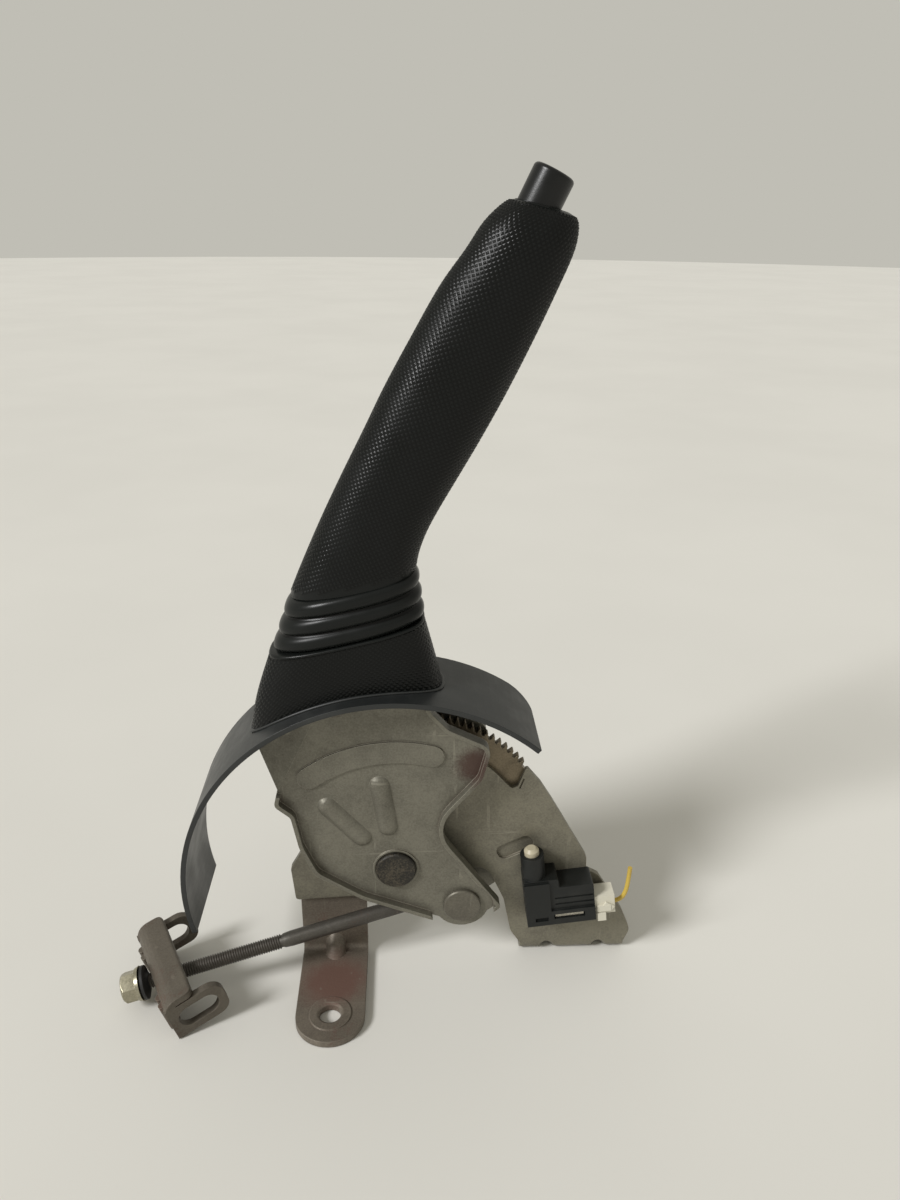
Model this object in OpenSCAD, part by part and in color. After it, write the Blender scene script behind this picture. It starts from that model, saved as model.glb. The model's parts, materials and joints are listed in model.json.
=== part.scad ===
// Parking brake lever: a pressed steel lever on a floor bracket, with its ratchet,
// release button, warning switch, adjusting rod and cable equalizer.
// Millimetres. The origin is the centre of the rear bolt hole on the floor.
// +X points to the front of the car, +Z up, and the lever swings in the XZ plane.

/* [Base] */
// Height of the lever pivot above the floor
pivot_height = 53; // [50:0.5:58]
// Distance from the rear bolt forward to the pivot
pivot_ahead = 27; // [24:0.5:30]
// Distance from the rear bolt across to the middle plane of the lever
bolt_offset = 35; // [30:0.5:42]
// Sheet thickness of the bracket plate
bracket_sheet = 2.4; // [2:0.1:2.8]
// Sheet thickness of the rear foot
foot_sheet = 2.8; // [2.2:0.1:3.2]
// Width of the rear foot
foot_width = 28; // [24:0.5:32]
// Diameter of both floor bolt holes
bolt_hole_d = 9; // [7:0.1:10.5]
// Diameter of the raised collar round the rear bolt hole
collar_d = 17; // [15:0.5:20]
// Depth of the front foot flange, from the near face of the bracket
flange_depth = 36; // [30:0.5:44]
// Inner radius of the bends of both feet
bend_r = 2.6; // [1.5:0.1:4]

/* [Ratchet] */
// Angle between two teeth of the sector
tooth_pitch = 2.8; // [2.7:0.02:2.9]
// Number of teeth
tooth_count = 22; // [21:1:23]
// Radius of the tooth tips about the pivot
tip_r = 68.7; // [67.5:0.1:69.5]
// Depth of a tooth
tooth_depth = 2.1; // [1.6:0.1:2.4]
// Thickness of the sector
sector_thick = 3; // [2.4:0.1:3.2]
// Width of the pawl
pawl_width = 8; // [6:0.1:8.2]

/* [Lever] */
// Clear width between the two lever shells
lever_gap = 12; // [11.8:0.1:14]
// Sheet thickness of the lever shells
lever_sheet = 1.6; // [1.2:0.1:2]
// Height of the lip that is turned outwards along the shells
lip_height = 3.4; // [2:0.1:4.5]
// Height of the arc emboss on the shells
emboss_height = 0.9; // [0.4:0.1:1.4]
// Height of the two ribs on the shells
rib_height = 2; // [1:0.1:2.2]
// Fore and aft width of the shank inside the grip
shank_width = 20; // [17:0.5:22]
// How far the shank ends below the grip's end
shank_short = 24.5; // [22.5:0.5:30.5]
// Diameter of the pivot pin
pivot_pin_d = 12; // [10:0.1:13]
// Diameter of the pivot pin's head
pivot_head_d = 16.4; // [16:0.1:18]
// Distance from the pivot to the rod pin
rod_pin_reach = 33.5; // [32.5:0.1:34.5]
// Diameter of the rod pin
rod_pin_d = 8; // [6:0.1:9]
// Diameter of the rod pin's head
rod_pin_head_d = 15.8; // [13:0.1:17]
// Diameter of the pawl pin
pawl_pin_d = 6; // [5:0.1:6.4]

/* [Grip] */
// Lean of the grip from the vertical
lean = 26; // [25:0.1:27]
// Half of the grip's width across the car
grip_half_width = 15.2; // [13.5:0.1:17]
// Half of the skirt's width across the car
skirt_half_width = 13.4; // [12:0.1:15]
// Height of the bellows rings over their grooves
ring_height = 2.3; // [1.4:0.1:2.6]
// Length of the grip above the lever axis mark
grip_length = 140.5; // [137:0.5:146]

/* [Slot cover] */
// Outer radius of the slot cover about the pivot
cover_r = 84.6; // [84:0.1:86]
// Thickness of the slot cover
cover_sheet = 2; // [1.5:0.1:2.4]
// Width of the slot cover across the car
cover_width = 41.6; // [36:0.5:46]
// Angle of the front end of the slot cover
cover_front = 48.9; // [46:0.1:53]
// Angle of the rear end of the slot cover
cover_rear = 193.6; // [186:0.1:194]

/* [Release] */
// Diameter of the button
button_d = 14; // [12:0.1:15]
// How far the button stands out of the grip
button_proud = 12; // [9:0.5:14]
// Diameter of the release rod
release_rod_d = 4; // [3:0.1:5]
// Wire diameter of the button spring
spring_wire = 1; // [0.7:0.1:1.2]
// Coil diameter of the button spring, to the middle of the wire
spring_d = 9; // [8:0.1:10]

/* [Rod and equalizer] */
// Diameter of the adjusting rod's plain shank
rod_d = 6.3; // [5.5:0.1:6.5]
// Outer diameter of the rod's thread
thread_d = 6; // [5:0.1:6]
// Distance from the rod pin to the equalizer's web
rod_reach = 130; // [126:0.5:132]
// Turn of the rod towards the near side, seen from above
rod_yaw = 11.1; // [10:0.1:11.5]
// Fall of the rod towards the rear
rod_pitch = 10; // [9:0.1:10.5]
// Turn of the equalizer, seen from above
equalizer_yaw = 27; // [25:0.5:28]
// Tilt of the equalizer, its open side up
equalizer_pitch = 16; // [12:0.5:18]
// Length of the equalizer across its two ears
equalizer_length = 48; // [44:0.5:54]
// Sheet thickness of the equalizer
equalizer_sheet = 3; // [2.4:0.1:3.2]
// Width of the equalizer's top wall
equalizer_top = 12.6; // [10:0.1:15]
// Length of the equalizer's ears, from the outer face of its web
ear_length = 23; // [22.5:0.5:26]
// Length of the cable slot in an ear
ear_slot = 16.5; // [14:0.5:16.5]
// Width of the cable slot in an ear
ear_slot_w = 9.4; // [6:0.1:9.6]
// Width of the adjusting nut across its flats
nut_flats = 11; // [10:0.1:12]
// Length of the adjusting nut
nut_length = 7.4; // [6.5:0.1:9]

/* [Switch] */
// Depth of the switch housing
switch_depth = 12; // [10.5:0.1:13]
// Diameter of the switch plunger
plunger_d = 6.2; // [5.5:0.1:6.6]
// How far the plunger stands out of the switch
plunger_proud = 3; // [2:0.1:3.2]
// Diameter of the lead wire
wire_d = 1.9; // [1.5:0.1:2]

/* [Hidden] */
$fn = 64;
// Radial clearance of a pin in its bore
run_gap = 0.05;
// Clearance between faces that slide or turn past each other
face_gap = 0.2;
// Straight pieces in each rounded corner of an outline
corner_steps = 6;
// Points round each section of the grip
loft_sides = 48;

// Planes across the car, measured from the lever's middle plane
bracket_near = -0.4;
bracket_far = bracket_near + bracket_sheet;
sector_far = bracket_far + sector_thick;
shell_in = lever_gap / 2;
shell_out = shell_in + lever_sheet;
lip_out = shell_out + lip_height;

// Heads of the pins
head_thick = 2.1;
peen_thick = 1.5;
head_chamfer = 0.5;

// Pivot
pivot_r = pivot_pin_d / 2;
bush_r = pivot_r + 3;
hub_r = 15.5;
collar_ring_r = pivot_head_d / 2 + 0.3;
collar_ring_w = 0.9;
collar_ring_h = 0.7;

// Round far corner of the slot cover's front end
cover_corner = 12;

// Rod pin, on its circle about the pivot
rod_pin_angle = -35;
rod_pin_at = polar(rod_pin_reach, rod_pin_angle);
rod_pin_lobe = 11.5;
rod_eye_r = rod_pin_d / 2 + 3.5;
rod_across = 2.4;

// Front foot: where its flange starts and ends along the car
front_foot = [54, 100];
flange_corner = 8;
front_bolt_across = 21;
dart_at = [66, 89];
dart_r = 4;
rear_dart_r = 4.5;

// Ratchet: where the sector and its first tooth start, the gap under the pawl, and the pawl's pin
sector_from = 32;
first_tooth = 40.6;
pawl_gap = 17;
pawl_pin_at = [-22, 76];
pawl_hub_r = pawl_pin_d / 2 + 1.8;
pawl_near = -2.6;
pawl_lift = 4.6;
root_r = tip_r - tooth_depth;
sector_in_r = 44;
nose_gap = 0.25;
sector_rivet_angles = [58, 86];
sector_rivet_r = 50;
sector_rivet_d = 5;
rivet_head = 0.6;

// Lever axis: a mark low in the grip, from which the shank is measured
axis_mark = [-13.7, 125];
boot_tilt = 13;
shank_half = shank_width / 2;
shank_length = grip_length - shank_short;
pad_at = -47;
guide_length = 10;
guide_flange = 2;

// Button and its spring, along the lever axis
button_in = 11.5;
button_flange_r = button_d / 2 + 1;
button_flange = 2.5;
button_play = 1.3;
spring_from = shank_length + guide_flange;
spring_to = grip_length - button_in;
spring_turns = 5;

// Adjusting rod and what sits on its rear end
thread_from = 78;
rock_limit = 22;
web_z = pivot_height + rod_pin_at.y - rod_reach * sin(rod_pitch);
web_top = 8.2;
ear_top = 4.6;
yoke_bend_r = 3;
washer_r = 6.8;
washer_thick = 1.8;
washer_from = rod_reach + (equalizer_sheet / 2) / cos(rock_limit) + face_gap;
washer_to = washer_from + washer_r * tan(rock_limit) + washer_thick;
nut_from = washer_to + face_gap / 2;
nut_flange = 1.6;
nut_flange_d = 14;
rod_end = nut_from + nut_length - 0.3;
rod_chamfer = 1;

// Switch housing, turned with its lower rear corner on this point of the bracket
switch_corner = [55.4, -28.8];
switch_turn = 7;
switch_size = [29, 22.6];
switch_step = [14.5, 18.3];
tower_top = 33.5;
tower_wall = 1.6;
plunger_x = 4.9;
plunger_mid = -switch_depth / 2;
plunger_in = 9;
plunger_bore = 17;
plug_z = [1.2, 10.4];
plug_half = 4;
plug_socket = 4.5;
plug_out = 8.6;
strip_thick = 0.5;
strip_recess = 1.3;

// Route of the lead wire: out of the plug, then up
wire_route = [
    [108, 28.6, 31], [110.4, 28.6, 31.3], [112.8, 28.6, 31.6], [115.2, 28.6, 31.9],
    [117.6, 28.6, 32.2], [119.4, 28.6, 32.425], [121, 28.6, 32.93], [122.3, 28.6, 33.73],
    [123.2, 28.5, 34.93], [123.8, 28.45, 36.43], [124.2, 28.35, 38.2], [124.45, 28.25, 40.2],
    [124.6, 28.15, 42.3], [124.7, 28.05, 44.5], [124.8, 27.95, 47], [124.85, 27.8, 50.2]
];
wire_start = wire_route[2] - wire_route[0];
wire_rise = atan2(wire_start.z, wire_start.x);

// Points and outlines in the lever's plane
function polar(r, a) = r * [cos(a), sin(a)];
function arc(r, from, to, steps) = [for (i = [0:steps]) polar(r, from + (to - from) * i / steps)];
function unit(v) = v / norm(v);
function half_turn(a) = (a % 360 + 540) % 360 - 180;

// Arc of radius r that rounds the corner at a point between its two neighbours
function fillet(before, at, after, r) =
    let (p = unit(before - at),
         q = unit(after - at),
         half = acos(p * q) / 2,
         centre = at + unit(p + q) * r / sin(half),
         from = at + p * r / tan(half) - centre,
         to = at + q * r / tan(half) - centre,
         start = atan2(from.y, from.x),
         sweep = half_turn(atan2(to.y, to.x) - start))
    [for (i = [0:corner_steps]) centre + polar(r, start + sweep * i / corner_steps)];

function flat(p) = [p.x, p.y];

// Outline whose corners are given as x, z and radius
function rounded(corners) =
    let (n = len(corners))
    [for (i = [0:n - 1])
        each corners[i].z > 0
            ? fillet(flat(corners[(i + n - 1) % n]), flat(corners[i]), flat(corners[(i + 1) % n]), corners[i].z)
            : [flat(corners[i])]];

// Outline moved inwards by d, for points that run anticlockwise
function inset(p, d) =
    let (n = len(p))
    [for (i = [0:n - 1])
        let (a = unit(p[i] - p[(i + n - 1) % n]),
             b = unit(p[(i + 1) % n] - p[i]),
             m = [-a.y - b.y, a.x + b.x])
        p[i] + d * m / (1 + a * b)];

// Points at a height along the shank and a distance ahead of its axis
function on_shank(s, b) = axis_mark + s * [sin(lean), cos(lean)] + b * [cos(lean), -sin(lean)];
// Points at a radius in the boot and a distance ahead of its middle
function on_boot(r, t) = r * [-sin(boot_tilt), cos(boot_tilt)] + t * [cos(boot_tilt), sin(boot_tilt)];

// Frames
module pivot_frame() { translate([pivot_ahead, bolt_offset, pivot_height]) children(); }
module in_plane(y0, y1) {
    pivot_frame() rotate([90, 0, 0]) translate([0, 0, -y1]) linear_extrude(y1 - y0) children();
}
module along_shank() { pivot_frame() translate([axis_mark.x, 0, axis_mark.y]) rotate([0, lean, 0]) children(); }
module along_boot() { pivot_frame() rotate([0, -boot_tilt, 0]) children(); }
module along_rod() {
    pivot_frame() translate([rod_pin_at.x, rod_across, rod_pin_at.y])
        rotate([0, 90 + rod_pitch, 180 + rod_yaw]) children();
}
module at_switch() {
    pivot_frame() translate([switch_corner.x, bracket_near, switch_corner.y]) rotate([0, -switch_turn, 0]) children();
}

// Straight round pin or bore across the car
module across(at, r, y0, y1) {
    pivot_frame() translate([at.x, y1, at.y]) rotate([90, 0, 0]) cylinder(r = r, h = y1 - y0);
}
// Pin with a chamfered head on the near side and a peened head on the far side
module headed_pin(at, r, head_r, peen_r, gap) {
    across(at, r, -shell_out - gap, shell_out + gap);
    pivot_frame() translate([at.x, 0, at.y]) rotate([90, 0, 0]) {
        translate([0, 0, shell_out + gap]) cylinder(r = head_r, h = head_thick - head_chamfer);
        translate([0, 0, shell_out + gap + head_thick - head_chamfer])
            cylinder(r1 = head_r, r2 = head_r - head_chamfer, h = head_chamfer);
        mirror([0, 0, 1]) translate([0, 0, shell_out + gap])
            cylinder(r1 = peen_r, r2 = peen_r - peen_thick / 2, h = peen_thick);
    }
}
// Straight coil of round wire along +Z, from z0 to z1
module coil(d, wire, z0, z1, turns, sides, per_turn) {
    count = ceil(turns * per_turn);
    rise = (z1 - z0 - wire) / count;
    points = [for (i = [0:count]) for (k = [0:sides - 1])
        let (a = 360 * i / per_turn, b = 360 * k / sides, r = d / 2 + wire / 2 * cos(b))
        [r * cos(a), r * sin(a), z0 + wire / 2 + rise * i + wire / 2 * sin(b)]];
    tube(points, count + 1, sides);
}
// Closed skin over rings of points that run the same way
module tube(points, rings, sides) {
    last = (rings - 1) * sides;
    polyhedron(points, concat(
        [[for (i = [0:sides - 1]) i]],
        [[for (i = [sides - 1:-1:0]) last + i]],
        [for (j = [0:rings - 2]) for (i = [0:sides - 1])
            let (a = j * sides + i, b = j * sides + (i + 1) % sides)
            each [[a, a + sides, b + sides], [a, b + sides, b]]]));
}

// Base
bracket_outline = rounded(concat(
    [[front_foot[0], bend_r + bracket_sheet - pivot_height, 0],
     [front_foot[1], bend_r + bracket_sheet - pivot_height, 0],
     [102.5, -42, 6], [98, -31, 6], [86.2, -11.5, 2.5], [80.8, -8.5, 2], [80.6, -2, 5],
     [64.5, 27, 20], [59.3, 35.6, 8], [53.3, 43, 0.8], [50, 33.8, 1.5], [47.4, 33, 1.5]],
    [for (p = arc(57.5, 45.2, 104, 20)) concat(p, 0)],
    [[-24, 32, 14], [-38, 6, 6], [-44.2, -5, 4], [-42.8, -21.5, 1.5], [-14, -20, 8],
     [0, -hub_r, 12], [38, -5, 7], [46, -23.5, 12], [49.5, -41, 8]]));

module bracket_plate() {
    color([0.45, 0.44, 0.38]) difference() {
        union() {
            in_plane(bracket_near, bracket_far) polygon(bracket_outline);
            front_flange();
            front_gussets();
        }
        across([0, 0], pivot_r + run_gap, bracket_near - 1, bracket_far + 1);
        for (a = sector_rivet_angles)
            across(polar(sector_rivet_r, a), sector_rivet_d / 2 + run_gap, bracket_near - 1, bracket_far + 1);
        front_darts(dart_r);
        front_bolt() cylinder(d = bolt_hole_d, h = 3 * bracket_sheet, center = true);
        lanced_dent();
        dart_slit();
    }
}
module front_bolt() {
    pivot_frame() translate([(front_foot[0] + front_foot[1]) / 2, bracket_near + front_bolt_across, -pivot_height]) children();
}
// Bend and flange of the front foot, bent away from the near side
module front_flange() {
    bend_out = bend_r + bracket_sheet;
    pivot_frame() translate([front_foot[0], bracket_near, -pivot_height]) {
        translate([0, bend_out, bend_out]) rotate([90, 0, 90]) linear_extrude(front_foot[1] - front_foot[0])
            intersection() {
                difference() {
                    circle(r = bend_out);
                    circle(r = bend_r);
                }
                translate([-bend_out, -bend_out]) square(bend_out);
            }
        linear_extrude(bracket_sheet) polygon(rounded([
            [0, bend_out, 0], [front_foot[1] - front_foot[0], bend_out, 0],
            [front_foot[1] - front_foot[0], flange_depth, flange_corner], [0, flange_depth, flange_corner]]));
    }
}
// Slanted rounds that press the darts into the bend of the front foot
module front_darts(r) {
    for (x = dart_at)
        pivot_frame() translate([x, bracket_near, -pivot_height]) rotate([-45, 0, 0])
            translate([0, 0, 4 - r]) rotate([90, 0, 0]) cylinder(r = r, h = 10 * r, center = true);
}
// Inner side of the darts, which stiffens the corner
module front_gussets() {
    inner = bracket_sheet;
    for (x = dart_at)
        pivot_frame() translate([x - dart_r - 1, bracket_far, inner - pivot_height]) rotate([90, 0, 90])
            linear_extrude(2 * dart_r + 2) polygon([[-0.5, -0.5], [7, -0.5], [-0.5, 7]]);
}
// Shallow dent beside the switch plunger
module lanced_dent() {
    in_plane(bracket_near - 1, bracket_near + bracket_sheet / 2) translate([50, 3.5]) rotate(26)
        polygon(rounded([[-8, -3.6, 3], [8, -3.6, 3], [8, 3.6, 3], [-8, 3.6, 3]]));
}
// Short slit beside the upper tip
module dart_slit() {
    in_plane(bracket_near - 1, bracket_near + bracket_sheet / 3) translate([51.6, 35.2]) rotate(72)
        square([5, 0.7], center = true);
}

module rear_foot() {
    bend_out = bend_r + foot_sheet;
    left = -foot_width / 2;
    leg_top = pivot_height - 5;
    near = bolt_offset + bracket_far;
    color([0.4, 0.33, 0.28]) difference() {
        union() {
            translate([left, near, 0]) {
                translate([0, 0, bend_out]) cube([foot_width, foot_sheet, leg_top - bend_out]);
                translate([0, -bend_r, bend_out]) rotate([90, 0, 90]) linear_extrude(foot_width) intersection() {
                    difference() {
                        circle(r = bend_out);
                        circle(r = bend_r);
                    }
                    translate([0, -bend_out]) square(bend_out);
                }
                translate([0, -near, 0]) cube([foot_width, near - bend_r, foot_sheet]);
            }
            cylinder(d = foot_width, h = foot_sheet);
            cylinder(d = collar_d, h = foot_sheet + 0.5);
            rear_gusset(near);
        }
        cylinder(d = bolt_hole_d, h = 6 * foot_sheet, center = true);
        translate([0, 0, foot_sheet]) cylinder(d1 = bolt_hole_d, d2 = bolt_hole_d + 2.4, h = 0.7);
    }
}
// Pressed dart in the bend of the rear foot
module rear_gusset(near) {
    intersection() {
        translate([0, near, foot_sheet]) rotate([45, 0, 0]) translate([0, 0, 1]) rotate([90, 0, 0])
            cylinder(r = rear_dart_r, h = 40, center = true);
        translate([-rear_dart_r, near - 12, foot_sheet / 2]) cube([2 * rear_dart_r, 12 + foot_sheet / 2, 14]);
    }
}

// Ratchet: each tooth has a steep face to the rear and a ramp to the front
function tooth(a) = [
    polar(tip_r, a - 0.15 * tooth_pitch), polar(tip_r, a),
    polar(root_r, a + 0.12 * tooth_pitch), polar(root_r, a + 0.42 * tooth_pitch)];
sector_outline = concat(
    [polar(sector_in_r, sector_from), polar(root_r, sector_from), polar(root_r, first_tooth - tooth_pitch / 2)],
    [for (i = [0:tooth_count - 1]) each tooth(first_tooth + i * tooth_pitch)],
    [polar(root_r, first_tooth + tooth_count * tooth_pitch)],
    arc(sector_in_r, first_tooth + tooth_count * tooth_pitch, sector_from, 16));

module ratchet_sector() {
    color([0.49, 0.44, 0.35]) difference() {
        in_plane(bracket_far, sector_far) polygon(sector_outline);
        for (a = sector_rivet_angles)
            across(polar(sector_rivet_r, a), sector_rivet_d / 2 + run_gap, bracket_far - 1, sector_far + 1);
    }
}
module sector_rivets() {
    color([0.5, 0.5, 0.48]) for (a = sector_rivet_angles) {
        at = polar(sector_rivet_r, a);
        across(at, sector_rivet_d / 2, bracket_near, sector_far);
        across(at, sector_rivet_d / 2 + 1.5, bracket_near - 2 * rivet_head, bracket_near);
        across(at, sector_rivet_d / 2 + 1.5, sector_far, sector_far + rivet_head);
    }
}
module pivot_pin() {
    color([0.16, 0.16, 0.14]) headed_pin([0, 0], pivot_r, pivot_head_d / 2, pivot_r + 2.5, face_gap);
}
// Bush between a lever shell and the bracket
module pivot_bush(y0, y1) {
    color([0.55, 0.5, 0.35]) difference() {
        across([0, 0], bush_r, y0, y1);
        across([0, 0], pivot_r + run_gap, y0 - 1, y1 + 1);
    }
}
module pivot_bush_near() { pivot_bush(face_gap - shell_in, bracket_near); }
module pivot_bush_far() { pivot_bush(bracket_far, shell_in - face_gap); }

// Warning switch
module switch_body() {
    color([0.14, 0.15, 0.15]) at_switch() difference() {
        union() {
            rotate([90, 0, 0]) linear_extrude(switch_depth - 1) polygon(rounded([
                [0, 0, 1], [switch_size.x, 0, 1], [switch_size.x, switch_step.y, 1],
                [switch_step.x, switch_step.y, 0.8], [switch_step.x, switch_size.y, 1], [0, switch_size.y, 1]]));
            translate([0, -switch_depth, 0]) cube([switch_step.x - 4, 2, switch_size.y - 1]);
            translate([0, -switch_depth, 0]) cube([switch_size.x, 2, 7]);
            translate([plunger_x, plunger_mid, switch_size.y - 2])
                cylinder(d = plunger_d + 2 * (face_gap + tower_wall), h = tower_top - switch_size.y + 2);
        }
        translate([plunger_x, plunger_mid, tower_top - plunger_bore])
            cylinder(d = plunger_d + 2 * face_gap, h = plunger_bore + 1);
        translate([switch_size.x - plug_socket - face_gap, plunger_mid - plug_half - face_gap, plug_z[0] - face_gap])
            cube([plug_socket + 1, 2 * (plug_half + face_gap), plug_z[1] - plug_z[0] + 2 * face_gap]);
        translate([11.5, -switch_depth - 1, 2.8]) cube([13, 1 + strip_recess, 2.4]);
        translate([3.5, -switch_depth - 1, 2.2]) cube([5.5, 2, 2]);
        translate([switch_step.x - 2, -switch_depth, 9.4]) cube([switch_size.x, 1.5, 0.8]);
        translate([switch_step.x - 2, -switch_depth, 12.4]) cube([switch_size.x, 1.5, 0.8]);
    }
}
module switch_contact() {
    color([0.75, 0.73, 0.68]) at_switch()
        translate([12, strip_recess - switch_depth - strip_thick, 3.2]) cube([12, strip_thick, 1.5]);
}
module plunger_spring() {
    color([0.6, 0.6, 0.6]) at_switch() translate([plunger_x, plunger_mid, 0])
        coil(plunger_d - 2.4, 0.6, tower_top - plunger_bore, tower_top - plunger_in, 5, 6, 10);
}
module switch_plunger() {
    dome = 1.2;
    color([0.88, 0.85, 0.74]) at_switch() translate([plunger_x, plunger_mid, tower_top - plunger_in]) {
        cylinder(d = plunger_d, h = plunger_in + plunger_proud - dome);
        translate([0, 0, plunger_in + plunger_proud - dome])
            cylinder(d1 = plunger_d, d2 = plunger_d - 2 * dome, h = dome);
    }
}
module connector_housing() {
    from = switch_size.x - plug_socket;
    color([0.9, 0.88, 0.8]) difference() {
        at_switch() union() {
            translate([from, plunger_mid - plug_half, plug_z[0]]) cube([plug_socket + plug_out, 2 * plug_half, plug_z[1] - plug_z[0]]);
            translate([switch_size.x + 0.8, plunger_mid - plug_half - 1, plug_z[0] + 1.6]) cube([6, 2 * plug_half + 2, 3]);
            translate([switch_size.x + 0.8, plunger_mid - plug_half - 1.4, -1.6]) cube([3.6, 5, 4]);
            translate([switch_size.x + 3.5, plunger_mid - plug_half - 0.8, 5.4]) rotate([0, 35, 0]) cube([4.4, 1.4, 2.4]);
        }
        translate(wire_route[0]) rotate([0, 90 - wire_rise, 0]) cylinder(d = wire_d + 6 * run_gap, h = 30, center = true);
    }
}
// Rings of a round wire along a route
function wire_rings(r, route) =
    let (n = len(route))
    [for (i = [0:n - 1])
        let (d = unit(route[min(i + 1, n - 1)] - route[max(i - 1, 0)]),
             side = unit(cross(d, [0, 1, 0])),
             up = cross(side, d))
        for (k = [0:7]) route[i] + r * (cos(45 * k) * side + sin(45 * k) * up)];
module lead_wire() {
    color([0.8, 0.66, 0.15]) tube(wire_rings(wire_d / 2, wire_route), len(wire_route), 8);
}

// Lever: the outline of a shell, anticlockwise from the round end about the rod pin
shell_corners = concat(
    [for (p = arc(rod_pin_lobe, -145, -20, 10)) concat(rod_pin_at + p, 0)],
    [[44, -18.8, 2], [15.5, 21, 14], [34.5, 44, 9], [38, 58.5, 5],
     [21, 67, 6], [14, 75, 6], [8, 108, 12]],
    [concat(on_shank(12, shank_half), 10), concat(on_shank(shank_length, shank_half), 0),
     concat(on_shank(shank_length, -shank_half), 0), concat(on_shank(-8, -shank_half), 8)],
    [[-37, 94, 5], [-33, 86, 4], [-29.5, 73.5, 3], [-46.5, 38, 4], [-47.5, 33.5, 3],
     [-41.3, 28, 3], [-38.6, 13, 20], [-33, -0.5, 10], [-14, -13.2, 30], [13.5, -24.2, 3]]);
shell_outline = rounded(shell_corners);
flank_foot = [-46.5, 38];
flank_lean = 25.6;
flank_bend = 14;
emboss_r = [51.1, 60.6];
emboss_span = [74.5, 127];
rib_angles = [98.3, 131];
rib_span = [20.8, 41];
rib_r = 5.4;

module shell_face(y0, y1) {
    in_plane(y0, y1) polygon(shell_outline);
}
// Lip along the rear, lower and front edges, turned outwards
module shell_lip() {
    in_plane(-lip_out, -shell_in) difference() {
        polygon(shell_outline);
        polygon(inset(shell_outline, lever_sheet));
        translate([-80, 76]) square(400);
        translate([-80, 37.5]) square([85, 400]);
        translate(rod_pin_at) circle(r = rod_pin_lobe + 2);
    }
}
// Raised arc about the pivot with round ends
module shell_emboss() {
    mid = (emboss_r[0] + emboss_r[1]) / 2;
    end_r = (emboss_r[1] - emboss_r[0]) / 2;
    in_plane(-shell_out - emboss_height, -shell_out + 0.1) polygon(concat(
        arc(emboss_r[1], emboss_span[0], emboss_span[1], 18),
        [for (p = arc(end_r, emboss_span[1], emboss_span[1] + 180, 8)) polar(mid, emboss_span[1]) + p],
        arc(emboss_r[0], emboss_span[1], emboss_span[0], 18),
        [for (p = arc(end_r, emboss_span[0] - 180, emboss_span[0], 8)) polar(mid, emboss_span[0]) + p]));
}
// Half round ribs that point at the pivot
module shell_ribs() {
    for (a = rib_angles) difference() {
        pivot_frame() rotate([0, -a, 0]) translate([0, rib_r - shell_out - rib_height, 0]) rotate([0, 90, 0])
            rotate_extrude() polygon(concat(
                [for (p = arc(rib_r, -90, 0, 6)) [0, rib_span[0]] + p],
                [for (p = arc(rib_r, 0, 90, 6)) [0, rib_span[1]] + p]));
        pivot_frame() translate([-60, 0.1 - shell_out, -60]) cube(120);
    }
}
// Rear flank that is bent in towards the middle
module shell_flank() {
    pivot_frame() translate([flank_foot.x, -shell_out, flank_foot.y]) rotate([0, flank_lean, 0]) rotate([0, 0, -flank_bend])
        rotate([90, 0, 0]) translate([0, 0, -lever_sheet]) linear_extrude(lever_sheet)
            polygon([[0.4, 0.6], [0.4, 50], [-15, 50], [-15, 24.4], [-17, 16.7]]);
}
// Walls of the shank that meet those of the other shell in the middle plane
module shank_walls() {
    seam = 0.1;
    for (side = [0, 1]) along_shank()
        translate([side == 0 ? seam - shank_half : shank_half - lever_sheet - seam, -shell_in - 0.5, 16])
            cube([lever_sheet, shell_in + 0.5, shank_length - 16 - seam]);
}
module shell_holes() {
    across([0, 0], pivot_r + run_gap, -lip_out - 1, 0);
    across(rod_pin_at, rod_pin_d / 2 + run_gap, -lip_out - 1, 0);
    across(pawl_pin_at, pawl_pin_d / 2 + run_gap, -lip_out - 1, 0);
}
module pivot_collar() {
    difference() {
        across([0, 0], collar_ring_r + collar_ring_w, -shell_out - collar_ring_h, -shell_out + 0.2);
        across([0, 0], collar_ring_r, -shell_out - collar_ring_h - 1, 0);
    }
}
module lever_near_shell() {
    color([0.43, 0.41, 0.36]) difference() {
        union() {
            shell_face(-shell_out, -shell_in);
            shell_lip();
            shell_emboss();
            shell_ribs();
            shell_flank();
            shank_walls();
            pivot_collar();
        }
        shell_holes();
    }
}
module far_side() {
    translate([0, 2 * bolt_offset, 0]) mirror([0, 1, 0]) children();
}
module lever_far_shell() {
    color([0.41, 0.39, 0.35]) far_side() difference() {
        union() {
            shell_face(-shell_out, -shell_in);
            shell_lip();
            shell_emboss();
            shell_ribs();
            shank_walls();
        }
        shell_holes();
    }
}
module rod_pin() {
    color([0.37, 0.36, 0.33]) headed_pin(rod_pin_at, rod_pin_d / 2, rod_pin_head_d / 2, rod_pin_d / 2 + 2, 0);
}
module pawl_pin() {
    color([0.5, 0.5, 0.48]) {
        across(pawl_pin_at, pawl_pin_d / 2, -shell_out, shell_out);
        across(pawl_pin_at, pawl_pin_d / 2 + 1.2, -shell_out - 0.5, -shell_out);
        across(pawl_pin_at, pawl_pin_d / 2 + 1.2, shell_out, shell_out + 0.5);
    }
}

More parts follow.
